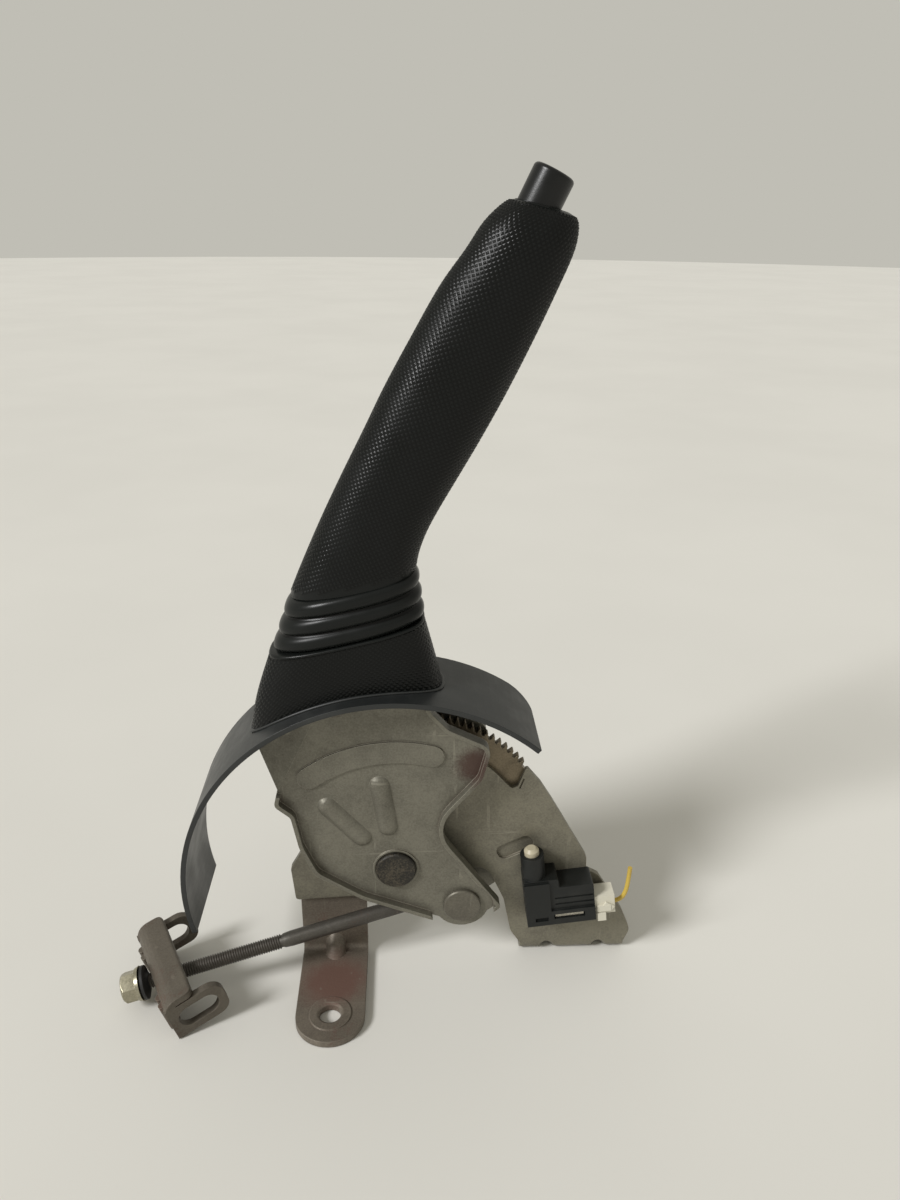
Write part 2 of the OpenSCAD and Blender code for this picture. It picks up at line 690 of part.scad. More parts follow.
// Pawl: its nose is drawn in mesh with the gap and then lifted off the tips
gap_angle = first_tooth + pawl_gap * tooth_pitch;
nose_side = nose_gap / tip_r * 180 / PI;
nose_outline = [
    pawl_pin_at + [0, -4], [-8, 70.9], polar(tip_r + 0.9, gap_angle + 0.85 * tooth_pitch),
    polar(root_r + 0.45, gap_angle + 0.42 * tooth_pitch - nose_side),
    polar(root_r + 0.45, gap_angle + 0.12 * tooth_pitch + nose_side),
    polar(tip_r + 0.9, gap_angle - 0.02 * tooth_pitch + nose_side),
    [5.5, 70.4], [6.5, 74], [2, 78], [-10, 80.4], pawl_pin_at + [0, 4.4]];
tail_outline = [
    pawl_pin_at + [2, 4], on_shank(pad_at - face_gap, 3.4), on_shank(pad_at - face_gap, -3.4),
    on_shank(pad_at - 5, -3), pawl_pin_at + [-2, -4]];

module pawl() {
    color([0.3, 0.3, 0.3]) difference() {
        union() {
            in_plane(pawl_near, pawl_near + pawl_width) translate(pawl_pin_at) rotate(pawl_lift)
                translate(-pawl_pin_at) polygon(nose_outline);
            in_plane(pawl_near, pawl_near + pawl_width) polygon(tail_outline);
            across(pawl_pin_at, pawl_hub_r, face_gap - shell_in, shell_in - face_gap);
        }
        across(pawl_pin_at, pawl_pin_d / 2 + run_gap, -shell_out, shell_out);
    }
}

// Grip: sections from the skirt over the bellows to the end of the handle
function boot_section(r, back, front, half) = [on_boot(r, back), on_boot(r, front), half, 4];
function grip_section(low, back, high, front, half) = [on_shank(low, back), on_shank(high, front), half, 2.4];
ring_pitch = 6.35;
ring_from = 106;
ring_shape = [0, 0.12, 0.32, 0.5, 0.68, 0.88];
bellows = [for (i = [0:2]) for (f = ring_shape)
    let (bulge = ring_height * sqrt(1 - pow(2 * f - 1, 2)), rise = i + f)
    boot_section(ring_from + ring_pitch * rise, -19.6 + 4.4 * rise - bulge, 33.6 + 0.35 * rise + bulge,
        skirt_half_width - 1 + 0.35 * rise + bulge)];
grip_sections = concat(
    [boot_section(74, -41, 37.2, skirt_half_width + 0.8),
     boot_section(88, -33.2, 36.6, skirt_half_width + 0.4),
     boot_section(ring_from - 1.2, -24, 36.7, skirt_half_width + 0.6),
     boot_section(ring_from - 0.2, -23.2, 36.2, skirt_half_width + 0.3)],
    bellows,
    [boot_section(ring_from + 3 * ring_pitch, -8.2, 35.6, skirt_half_width + 0.4),
     grip_section(-14.5, -19.4, 14, 18.2, grip_half_width - 0.6),
     grip_section(-3, -20, 21, 16.4, grip_half_width - 0.3),
     grip_section(14, -20.5, 29, 15.5, grip_half_width),
     grip_section(32, -20.5, 38, 15.6, grip_half_width),
     grip_section(52, -20.1, 52, 16.5, grip_half_width + 0.2),
     grip_section(68, -19.9, 68, 17.5, grip_half_width + 0.2),
     grip_section(86, -18.9, 86, 18.1, grip_half_width),
     grip_section(106, -17.5, 106, 18, grip_half_width - 0.1),
     grip_section(grip_length - 21, -15.2, grip_length - 16.8, 17.4, grip_half_width - 0.2),
     grip_section(grip_length - 12, -14, grip_length - 5.6, 17.2, grip_half_width - 1.2),
     grip_section(grip_length - 6, -11.9, grip_length + 0.8, 15.5, grip_half_width - 3),
     grip_section(grip_length - 2, -9.4, grip_length + 3.2, 12.8, grip_half_width - 5.4),
     grip_section(grip_length - 0.3, -7.6, grip_length + 3.8, 10, grip_half_width - 7.4)]);

function section_ring(s) =
    let (mid = (s[0] + s[1]) / 2, half = (s[1] - s[0]) / 2, power = 2 / s[3])
    [for (i = [0:loft_sides - 1])
        let (a = 360 * i / loft_sides,
             p = sign(cos(a)) * pow(abs(cos(a)), power),
             q = sign(sin(a)) * pow(abs(sin(a)), power))
        [mid.x + half.x * p, s[2] * q, mid.y + half.y * p]];

module grip() {
    color([0.12, 0.12, 0.12]) difference() {
        pivot_frame() tube([for (s = grip_sections) each section_ring(s)], len(grip_sections), loft_sides);
        across([0, 0], cover_r, -60, 60);
        in_plane(-shell_out - face_gap - 0.3, shell_out + face_gap + 0.3) polygon([
            on_boot(70, -36.5), on_boot(70, 33), on_boot(112, 32.6), on_boot(129, 30.6),
            on_shank(20, -shank_half - face_gap), on_boot(118, -3), on_boot(102, -19.5), on_boot(86, -33)]);
        along_shank() {
            translate([-shank_half - face_gap, -shell_out - face_gap, 0])
                cube([2 * (shank_half + face_gap), 2 * (shell_out + face_gap), shank_length + face_gap]);
            cylinder(r = button_flange_r + face_gap, h = grip_length - button_in + button_flange + button_play);
            cylinder(d = button_d + 2 * face_gap, h = grip_length + 20);
            translate([-shank_half - face_gap, -shell_out - face_gap, shank_length])
                cube([2 * (shank_half + face_gap), 2 * (shell_out + face_gap), guide_flange + face_gap]);
        }
    }
}

// Slot cover: an arc band about the pivot with an opening for the lever
module slot_cover() {
    color([0.2, 0.21, 0.21]) difference() {
        in_plane(-cover_width / 2, cover_width / 2)
            polygon(concat(arc(cover_r, cover_front, cover_rear, 60), arc(cover_r - cover_sheet, cover_rear, cover_front, 60)));
        along_boot() translate([-38, -shell_out - 0.8, 60]) cube([72, 2 * shell_out + 1.6, 60]);
        pivot_frame() rotate([0, 90 - cover_front, 0])
            translate([-cover_corner, cover_width / 2 - cover_corner, 0]) difference() {
                cube([2 * cover_corner, 2 * cover_corner, 2 * cover_r]);
                cylinder(r = cover_corner, h = 2 * cover_r);
            }
    }
}

// Release: guide, spring, button and rod along the lever axis
module rod_guide() {
    inner = shank_half - lever_sheet - face_gap;
    color([0.85, 0.83, 0.78]) along_shank() difference() {
        union() {
            translate([-inner, face_gap - shell_in, shank_length - guide_length])
                cube([2 * inner, 2 * (shell_in - face_gap), guide_length]);
            translate([-shank_half, -shell_out, shank_length]) cube([shank_width, 2 * shell_out, guide_flange]);
        }
        cylinder(d = release_rod_d + 2 * run_gap, h = 2 * shank_length);
    }
}
module button_spring() {
    color([0.6, 0.6, 0.6]) along_shank() coil(spring_d, spring_wire, spring_from, spring_to, spring_turns, 6, 14);
}
module release_button() {
    edge = 1.4;
    top = grip_length + button_proud;
    color([0.1, 0.1, 0.1]) along_shank() difference() {
        rotate_extrude() polygon(concat(
            [[0, spring_to], [button_flange_r, spring_to], [button_flange_r, spring_to + button_flange],
             [button_d / 2, spring_to + button_flange]],
            [for (p = arc(edge, 0, 90, corner_steps)) [button_d / 2 - edge, top - edge] + p],
            [[0, top]]));
        translate([0, 0, spring_to - 1]) cylinder(d = release_rod_d + 2 * run_gap, h = 1 + button_in / 2);
    }
}
module release_rod() {
    r = release_rod_d / 2;
    color([0.6, 0.6, 0.58]) along_shank() {
        translate([0, 0, pad_at + r]) sphere(r = r);
        translate([0, 0, pad_at + r]) cylinder(r = r, h = spring_to + button_in / 2 - face_gap - pad_at - r);
    }
}

// Adjusting rod, and what it pulls
module adjusting_rod() {
    color([0.24, 0.23, 0.21]) difference() {
        union() {
            across(rod_pin_at, rod_eye_r, rod_across - rod_d / 2, rod_across + rod_d / 2);
            along_rod() {
                cylinder(d = rod_d, h = thread_from - 3);
                translate([0, 0, thread_from - 3]) cylinder(d1 = rod_d, d2 = thread_d, h = 3);
                translate([0, 0, thread_from]) cylinder(d = thread_d, h = rod_end - rod_chamfer - thread_from);
                translate([0, 0, rod_end - rod_chamfer])
                    cylinder(d1 = thread_d, d2 = thread_d - 2 * rod_chamfer, h = rod_chamfer);
            }
        }
        across(rod_pin_at, rod_pin_d / 2 + run_gap, -20, 20);
    }
}
web_at = [pivot_ahead, bolt_offset, pivot_height] + [rod_pin_at.x, rod_across, rod_pin_at.y]
    - rod_reach * [cos(rod_pitch) * cos(rod_yaw), cos(rod_pitch) * sin(rod_yaw), sin(rod_pitch)];

module equalizer() {
    t = equalizer_sheet;
    half = equalizer_length / 2;
    front = equalizer_top - t / 2;
    color([0.38, 0.32, 0.28]) translate(web_at) rotate([0, 0, equalizer_yaw]) rotate([0, -equalizer_pitch, 0]) difference() {
        union() {
            intersection() {
                translate([0, half, 0]) rotate([90, 0, 0]) linear_extrude(equalizer_length) polygon(rounded([
                    [-t / 2, -web_z, 0], [t / 2, -web_z, 0], [t / 2, web_top - t, yoke_bend_r], [front, web_top - t, 0],
                    [front, web_top, 1], [-t / 2, web_top, yoke_bend_r + t]]));
                linear_extrude(3 * web_z, center = true) polygon(rounded([
                    [-t, -half, 0], [front, -half, yoke_bend_r], [front, half, yoke_bend_r], [-t, half, 0]]));
            }
            for (side = [0, 1]) mirror([0, side, 0]) translate([0, half, 0]) rotate([90, 0, 0]) linear_extrude(t)
                polygon(rounded([
                    [-t / 2, -web_z, 2], [ear_length - t / 2, -web_z, 5], [ear_length - t / 2, ear_top, 6], [-t / 2, ear_top, 0]]));
            for (y = [-half + 7, -half + 11.5, half - 11.5, half - 7])
                translate([-t / 2, y, 0.8 - web_z]) cylinder(r = 1.6, h = web_z + 2);
        }
        for (y = [-1, 1]) translate([0, y, 0]) rotate([0, 90, 0]) cylinder(d = rod_d + 1.7, h = 4 * t, center = true);
        cube([4 * t, 2, rod_d + 1.7], center = true);
        ear_slots(half + 1);
    }
}
// Long slots for the cable ends, through both ears
module ear_slots(half) {
    z = (ear_top - web_z) / 2;
    from = ear_length - equalizer_sheet / 2 - 3.2 - ear_slot;
    r = ear_slot_w / 2;
    for (side = [-1, 1]) translate([0, side * half, z]) rotate([90, 0, 0]) {
        for (x = [from + r, from + ear_slot - r])
            translate([x, 0, 0]) cylinder(r = r, h = 3 * equalizer_sheet, center = true);
        translate([from + ear_slot / 2, 0, 0]) cube([ear_slot - 2 * r, 2 * r, 3 * equalizer_sheet], center = true);
    }
}
// Thick washer with a coned face, so that the equalizer can rock against it
module seat_washer() {
    bore = thread_d / 2 + run_gap;
    color([0.1, 0.1, 0.1]) along_rod() rotate_extrude() polygon([
        [bore, washer_from + bore * tan(rock_limit)], [washer_r, washer_from + washer_r * tan(rock_limit)],
        [washer_r, washer_to - 0.8], [washer_r - 0.8, washer_to], [bore, washer_to]]);
}
module adjusting_nut() {
    end_d = nut_flats - 0.6;
    color([0.78, 0.75, 0.64]) along_rod() translate([0, 0, nut_from]) difference() {
        union() {
            cylinder(d1 = nut_flange_d, d2 = nut_flange_d - 1, h = nut_flange);
            intersection() {
                cylinder(d = nut_flats / cos(30), h = nut_length, $fn = 6);
                cylinder(d1 = end_d + 2 * nut_length, d2 = end_d, h = nut_length);
            }
        }
        translate([0, 0, -1]) cylinder(d = thread_d + 2 * run_gap, h = nut_length + 2);
    }
}

bracket_plate();
rear_foot();
ratchet_sector();
sector_rivets();
pivot_pin();
pivot_bush_near();
pivot_bush_far();
switch_body();
switch_contact();
plunger_spring();
switch_plunger();
connector_housing();
lead_wire();
lever_near_shell();
lever_far_shell();
grip();
slot_cover();
rod_pin();
pawl_pin();
pawl();
rod_guide();
button_spring();
release_button();
release_rod();
adjusting_rod();
equalizer();
seat_washer();
adjusting_nut();
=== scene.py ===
"""Looks of the parking brake lever: finishes, knurled grip, threaded rod and lead wire."""

import json
import logging
import math
from dataclasses import dataclass
from enum import Enum

import bmesh
import bpy
from mathutils import Matrix, Vector


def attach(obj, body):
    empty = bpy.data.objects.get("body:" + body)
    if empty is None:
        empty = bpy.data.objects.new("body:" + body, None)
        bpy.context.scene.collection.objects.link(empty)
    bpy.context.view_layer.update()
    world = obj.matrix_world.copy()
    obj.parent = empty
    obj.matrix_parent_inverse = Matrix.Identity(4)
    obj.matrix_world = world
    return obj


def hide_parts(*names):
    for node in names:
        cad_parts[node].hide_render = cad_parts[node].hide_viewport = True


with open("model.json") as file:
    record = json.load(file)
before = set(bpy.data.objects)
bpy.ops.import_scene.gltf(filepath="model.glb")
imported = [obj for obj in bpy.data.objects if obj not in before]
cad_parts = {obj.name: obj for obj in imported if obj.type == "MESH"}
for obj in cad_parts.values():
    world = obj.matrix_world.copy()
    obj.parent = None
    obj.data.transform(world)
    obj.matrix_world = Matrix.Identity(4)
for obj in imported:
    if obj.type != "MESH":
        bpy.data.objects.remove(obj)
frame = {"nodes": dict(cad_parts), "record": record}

LOG = logging.getLogger("brake_lever")
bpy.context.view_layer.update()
MM = 0.001
# Reach of the painted shade in the steel's inner corners, in millimetres.
CORNER_SHADE_REACH = 5.0
ELLIPSE = 2.0
POINTS_PER_STEP = 8
Colour = tuple[int, int, int]
Knots = tuple[tuple[float, float], ...]

PIVOT = Vector((27.0, 35.0, 53.0))
COVER_RADIUS = 84.6


class Body(Enum):
    """Rigid bodies that the scene's own pieces ride on."""

    BASE = "base"
    LEVER = "lever"
    ROD = "rod"


def linear(colour: Colour, alpha: float = 1.0) -> tuple[float, float, float, float]:
    """Turns a screen colour of 0 to 255 into the linear colour that a shader takes."""
    def channel(value: float) -> float:
        share = value / 255
        return share / 12.92 if share <= 0.04045 else ((share + 0.055) / 1.055) ** 2.4

    return (*[channel(value) for value in colour], alpha)


def smooth_value(knots: Knots, x: float) -> float:
    """Reads a smooth curve through knots.

    Args:
        knots: Places and values, in rising order of place.
        x: The place to read, held at the ends outside the knots.

    Returns:
        The value of the curve there.
    """
    if x <= knots[0][0]:
        return knots[0][1]
    if x >= knots[-1][0]:
        return knots[-1][1]
    i = max(k for k in range(len(knots) - 1) if knots[k][0] <= x)

    def slope(k: int) -> float:
        low, high = max(k - 1, 0), min(k + 1, len(knots) - 1)
        return (knots[high][1] - knots[low][1]) / (knots[high][0] - knots[low][0])

    (x0, y0), (x1, y1) = knots[i], knots[i + 1]
    width = x1 - x0
    f = (x - x0) / width
    return ((1 + 2 * f) * (1 - f) ** 2 * y0 + f * (1 - f) ** 2 * width * slope(i)
            + f * f * (3 - 2 * f) * y1 + f * f * (f - 1) * width * slope(i + 1))


class Shade:
    """Node graph of one material, with short calls to add and link its nodes."""

    def __init__(self, name: str) -> None:
        """Starts a material that holds only its output and its main shader."""
        self.material = bpy.data.materials.new(name)
        self.material.use_nodes = True
        self.tree = self.material.node_tree
        self.tree.nodes.clear()
        self.output = self.tree.nodes.new("ShaderNodeOutputMaterial")
        self.shader = self.add("ShaderNodeBsdfPrincipled")
        self.tree.links.new(self.shader.outputs[0], self.output.inputs["Surface"])
        self.place = self.add("ShaderNodeTexCoord").outputs["Object"]

    def add(self, kind: str, **settings: object) -> bpy.types.Node:
        """Adds a node and sets its own properties."""
        node = self.tree.nodes.new(kind)
        for name, value in settings.items():
            setattr(node, name, value)
        return node

    def feed(self, node: bpy.types.Node, **inputs: object) -> bpy.types.Node:
        """Sets or links a node's inputs.

        Args:
            node: The node to feed.
            inputs: Values or sockets by input name, with spaces written as underscores.

        Returns:
            The same node.
        """
        for name, value in inputs.items():
            socket = node.inputs[name.replace("_", " ")]
            if isinstance(value, bpy.types.NodeSocket):
                self.tree.links.new(value, socket)
            else:
                socket.default_value = value
        return node

    def noise(self, scale: float, detail: float = 3.0, roughness: float = 0.6,
              stretch: tuple[float, float, float] = (1, 1, 1),
              turn: tuple[float, float, float] = (0, 0, 0)) -> bpy.types.NodeSocket:
        """Adds a cloud pattern on object coordinates.

        Args:
            scale: Clouds per metre.
            detail: Octaves of finer clouds.
            roughness: Strength of the finer clouds.
            stretch: Factors on the three axes.
            turn: Turn of the pattern about the three axes, in degrees.

        Returns:
            The pattern's value.
        """
        mapping = self.feed(self.add("ShaderNodeMapping"), Vector=self.place, Scale=stretch,
                            Rotation=[math.radians(a) for a in turn])
        node = self.feed(self.add("ShaderNodeTexNoise"), Vector=mapping.outputs[0], Scale=scale,
                         Detail=detail, Roughness=roughness)
        return node.outputs[0]

    def ramp(self, value: bpy.types.NodeSocket, low: float, high: float,
             to_low: float = 0.0, to_high: float = 1.0) -> bpy.types.NodeSocket:
        """Maps a value smoothly from one range to another, held at its ends."""
        node = self.add("ShaderNodeMapRange", interpolation_type="SMOOTHSTEP")
        self.feed(node, Value=value, From_Min=low, From_Max=high, To_Min=to_low, To_Max=to_high)
        return node.outputs[0]

    def math(self, operation: str, *values: object) -> bpy.types.NodeSocket:
        """Combines two or three numbers or sockets."""
        node = self.add("ShaderNodeMath", operation=operation)
        for socket, value in zip(node.inputs, values):
            if isinstance(value, bpy.types.NodeSocket):
                self.tree.links.new(value, socket)
            else:
                socket.default_value = value
        return node.outputs[0]

    def mix(self, share: object, first: object, second: object) -> bpy.types.NodeSocket:
        """Mixes two colours by a share."""
        node = self.add("ShaderNodeMix", data_type="RGBA")
        for index, value in ((0, share), (6, first), (7, second)):
            if isinstance(value, bpy.types.NodeSocket):
                self.tree.links.new(value, node.inputs[index])
            else:
                node.inputs[index].default_value = value
        return node.outputs[2]

    def soft_edges(self, radius: float) -> tuple[bpy.types.NodeSocket, bpy.types.NodeSocket]:
        """Rounds the shading over sharp edges.

        Args:
            radius: Radius of the rounding, in metres.

        Returns:
            The rounded normal, and a mask that is strong along outer and inner edges.
        """
        bevel = self.feed(self.add("ShaderNodeBevel", samples=6), Radius=radius)
        true_normal = self.add("ShaderNodeNewGeometry").outputs["Normal"]
        dot = self.add("ShaderNodeVectorMath", operation="DOT_PRODUCT")
        self.tree.links.new(bevel.outputs[0], dot.inputs[0])
        self.tree.links.new(true_normal, dot.inputs[1])
        return bevel.outputs[0], self.ramp(dot.outputs["Value"], 0.995, 0.8)

    def corner_shade(self, reach: float, clear: float = 0.72, full: float = 0.2,
                strength: float = 0.65) -> bpy.types.NodeSocket:
        """Finds inner corners by occlusion, to paint shade into them.

        Args:
            reach: How far from a corner the painted shade spreads, in metres.
            clear: Share of open sky at which a place gets no painted shade.
            full: Share of open sky at which the mask is strongest.
            strength: The mask's largest value.

        Returns:
            A mask that is strong in inner corners.
        """
        corner = self.feed(self.add("ShaderNodeAmbientOcclusion", samples=6, only_local=True), Distance=reach)
        return self.ramp(corner.outputs["AO"], clear, full, 0, strength)


@dataclass(frozen=True)
class SteelFinish:
    """Plated or bare steel with stains, fine scratches, worn edges and painted shade in inner corners.

    Lengths are in millimetres, scales in clouds per metre. A spot is a place in the frame and a radius.
    """

    name: str
    base: Colour
    stain: Colour
    edge: Colour
    stain_from: float = 0.8
    roughness: float = 0.42
    metallic: float = 0.75
    edge_radius: float = 0.5
    pitting: float = 0.08
    spots: tuple[tuple[float, float, float, float], ...] = ()
    cloud_scale: float = 38
    grain_scale: float = 1400
    drift_scale: float = 160
    scratch_scale: float = 420
    cross_scale: float = 300
    mark_share: float = 0.4
    pit_depth: float = 0.3

    def material(self) -> bpy.types.Material:
        """Builds the finish.

        Returns:
            The new material.
        """
        shade = Shade(self.name)
        cloud = shade.noise(self.cloud_scale, 6, 0.62)
        grain = shade.noise(self.grain_scale, 3, 0.6)
        drift = shade.noise(self.drift_scale, 4, 0.6)
        long_noise = shade.noise(self.scratch_scale, 2, 0.5, (1, 1, 0.05), (0, 28, 0))
        cross_noise = shade.noise(self.cross_scale, 2, 0.5, (0.05, 1, 1), (0, -18, 0))
        scratch, cross = shade.ramp(long_noise, 0.66, 0.72), shade.ramp(cross_noise, 0.69, 0.74)
        marks = shade.math("MULTIPLY", shade.math("MAXIMUM", scratch, cross), shade.ramp(drift, 0.42, 0.62))
        rounded, edges = shade.soft_edges(self.edge_radius * MM)
        clouds = shade.math("MULTIPLY_ADD", drift, 0.35, cloud)
        mixed = shade.math("MULTIPLY_ADD", grain, 0.5, clouds)
        stain_mask = shade.ramp(mixed, self.stain_from + 0.24, self.stain_from + 0.44, 0, 0.8)
        for spot in self.spots:
            stain_mask = shade.math("MAXIMUM", stain_mask, self._spot(shade, spot, mixed))
        mottle = shade.math("MULTIPLY_ADD", grain, 0.9, shade.math("SUBTRACT", clouds, 0.45))
        tone = shade.mix(shade.ramp(mottle, 0.35, 1.0), linear(self._shift(self.base, 1.1)),
                         linear(self._shift(self.base, 0.88)))
        # Inner corners are darkened toward the stain colour: painted shade, with some brown dirt.
        stained_and_shaded = shade.mix(stain_mask, shade.mix(shade.corner_shade(CORNER_SHADE_REACH * MM), tone, linear(self.stain)),
                            linear(self.stain))
        worn = shade.mix(shade.math("MULTIPLY", edges, shade.ramp(drift, 0.3, 0.6, 0.15, 0.75)), stained_and_shaded,
                         linear(self.edge))
        marked = shade.mix(shade.math("MULTIPLY", marks, self.mark_share), worn, linear(self.edge))
        bump = shade.feed(shade.add("ShaderNodeBump"), Strength=self.pitting, Distance=self.pit_depth * MM,
                          Height=shade.math("ADD", grain, shade.math("MULTIPLY", drift, 0.8)), Normal=rounded)
        rough = shade.math("ADD", shade.ramp(drift, 0.25, 0.75, self.roughness - 0.08, self.roughness + 0.1),
                           shade.math("MULTIPLY", stain_mask, 0.25))
        metal_lost = shade.math("MULTIPLY", stain_mask, 0.8 * self.metallic)
        metal = shade.math("SUBTRACT", self.metallic, metal_lost)
        shade.feed(shade.shader, Base_Color=marked, Roughness=rough, Metallic=metal, Normal=bump.outputs[0])
        return shade.material

    @staticmethod
    def _spot(shade: Shade, spot: tuple[float, float, float, float],
              ragged: bpy.types.NodeSocket) -> bpy.types.NodeSocket:
        """Masks a ragged patch about a place.

        Args:
            shade: The material being built.
            spot: Place and radius of the patch, in millimetres.
            ragged: Pattern that makes its rim ragged.

        Returns:
            The mask, strong in the middle of the patch.
        """
        distance = shade.add("ShaderNodeVectorMath", operation="DISTANCE")
        shade.tree.links.new(shade.place, distance.inputs[0])
        distance.inputs[1].default_value = [value * MM for value in spot[:3]]
        reach = shade.math("DIVIDE", distance.outputs["Value"], spot[3] * MM)
        return shade.ramp(shade.math("SUBTRACT", reach, ragged), 0.4, -0.5, 0, 0.9)

    @staticmethod
    def _shift(colour: Colour, factor: float) -> Colour:
        """Lightens or darkens a colour."""
        return tuple(min(255, round(channel * factor)) for channel in colour)


@dataclass(frozen=True)
class PlasticFinish:
    """Moulded plastic with a fine grain, uneven gloss and a little dust.

    Lengths are in millimetres, scales in clouds per metre. Where a raised colour is given, it goes on what
    stands out, and the base colour goes into the hollows as painted shade.
    """

    name: str
    base: Colour
    dust: Colour
    roughness: float = 0.5
    dust_share: float = 0.25
    grain: float = 0.1
    grain_scale: float = 2200
    edge_radius: float = 0.4
    gloss: float = 0.5
    raised: Colour | None = None
    hollow_shade_reach: float = 1.2
    grain_depth: float = 0.2
    drift_scale: float = 70

    def material(self) -> bpy.types.Material:
        """Builds the finish.

        Returns:
            The new material.
        """
        shade = Shade(self.name)
        drift = shade.noise(self.drift_scale, 5, 0.6)
        speck = shade.noise(self.grain_scale, 2, 0.5)
        rounded, edges = shade.soft_edges(self.edge_radius * MM)
        dusty = shade.math("MULTIPLY", shade.ramp(drift, 0.45, 0.75), self.dust_share)
        rubbed = shade.math("MULTIPLY", edges, 0.35 * self.dust_share)
        tone = linear(self.base)
        if self.raised:
            # Painted shade: the knurl's hollows take the near-black base colour.
            hollows = shade.corner_shade(self.hollow_shade_reach * MM, clear=0.98, full=0.88, strength=1.0)
            tone = shade.mix(hollows, linear(self.raised), tone)
        colour = shade.mix(shade.math("MAXIMUM", dusty, rubbed), tone, linear(self.dust))
        bump = shade.feed(shade.add("ShaderNodeBump"), Strength=self.grain,
                          Distance=self.grain_depth * MM, Height=speck, Normal=rounded)
        rough = shade.ramp(drift, 0.3, 0.7, self.roughness - 0.05, self.roughness + 0.08)
        shade.feed(shade.shader, Base_Color=colour, Roughness=rough, Specular_IOR_Level=self.gloss,
                   Normal=bump.outputs[0])
        return shade.material


FINISHES = {
    finish.name: finish
    for finish in (
        SteelFinish("lever_steel", (112, 109, 98), (66, 44, 36), (158, 154, 140), 0.9, 0.44, 0.45,
                    pitting=0.12, spots=((59.5, 26.5, 103.0, 8.5), (-9.0, 24.4, 130.0, 7.0))),
        SteelFinish("bracket_steel", (119, 115, 102), (88, 74, 62), (162, 157, 142), 0.88, 0.44, 0.45,
                    pitting=0.12),
        SteelFinish("foot_steel", (115, 107, 96), (101, 73, 63), (136, 130, 118), 0.8, 0.48, 0.35,
                    pitting=0.15, spots=((0.0, 17.0, 3.0, 15.0),)),
        SteelFinish("sector_steel", (118, 107, 88), (50, 42, 34), (170, 160, 140), 0.76, 0.4, 0.55),
        SteelFinish("rivet_steel", (100, 96, 86), (80, 70, 60), (140, 136, 124), 0.86, 0.4, 0.5),
        SteelFinish("dark_pin", (36, 35, 31), (86, 78, 64), (88, 84, 74), 0.6, 0.4, 0.4, 0.4, 1.0),
        SteelFinish("bush_brass", (150, 128, 78), (96, 78, 48), (190, 168, 110), 0.8, 0.4, 0.85),
        SteelFinish("spring_steel", (150, 150, 148), (110, 104, 96), (200, 200, 196), 0.9, 0.3, 0.9, 0.1),
        SteelFinish("contact_metal", (176, 172, 160), (120, 112, 100), (214, 210, 200), 0.9, 0.3, 0.85, 0.2),
        SteelFinish("pawl_steel", (86, 84, 80), (60, 50, 42), (150, 146, 138), 0.78, 0.4, 0.7),
        SteelFinish("rod_steel", (76, 73, 67), (80, 64, 54), (108, 102, 94), 0.74, 0.48, 0.45, 0.3),
        SteelFinish("yoke_steel", (94, 87, 77), (88, 66, 54), (124, 116, 104), 0.76, 0.5, 0.35, pitting=0.15),
        SteelFinish("nut_zinc", (158, 153, 134), (112, 100, 76), (214, 208, 190), 0.8, 0.3, 0.85, 0.3),
        # The grip's base colour is painted shade in the knurl's hollows; its raised colour is the plastic.
        PlasticFinish("grip_plastic", (2, 2, 2), (44, 46, 46), 0.29, 0.05, 0.05, 2600, 0.08, 0.2,
                      raised=(20, 22, 21)),
        PlasticFinish("cover_plastic", (33, 35, 35), (84, 86, 84), 0.4, 0.14, gloss=0.5),
        PlasticFinish("button_plastic", (11, 12, 12), (54, 56, 56), 0.3, 0.08, gloss=0.35),
        PlasticFinish("switch_plastic", (20, 22, 21), (70, 71, 67), 0.44, 0.15, edge_radius=0.25, gloss=0.35),
        PlasticFinish("plunger_plastic", (184, 176, 152), (160, 146, 120), 0.35, 0.3),
        PlasticFinish("plug_plastic", (208, 204, 188), (160, 150, 128), 0.45, 0.25, edge_radius=0.25),
        PlasticFinish("guide_plastic", (214, 208, 192), (160, 150, 130), 0.5, 0.2),
        PlasticFinish("washer_plastic", (24, 24, 24), (72, 68, 62), 0.55, 0.25),
        PlasticFinish("wire_insulation", (196, 168, 74), (150, 122, 54), 0.42, 0.25, edge_radius=0.05),
    )
}


class Wardrobe:
    """Makes each finish once and hands its material out."""

    def __init__(self) -> None:
        """Starts with no material made."""
        self._made: dict[str, bpy.types.Material] = {}

    def material(self, slot: str) -> bpy.types.Material:
        """Gives the material of a record slot, made on first use."""
        if slot not in self._made:
            self._made[slot] = FINISHES[slot].material()
        return self._made[slot]

    def dress_nodes(self) -> None:
        """Gives every solid of the frame the material of its slot."""
        for part in frame["record"]["subparts"]:
            mesh = frame["nodes"][part["node"]].data
            mesh.materials.clear()
            mesh.materials.append(self.material(part["material_slot"]))


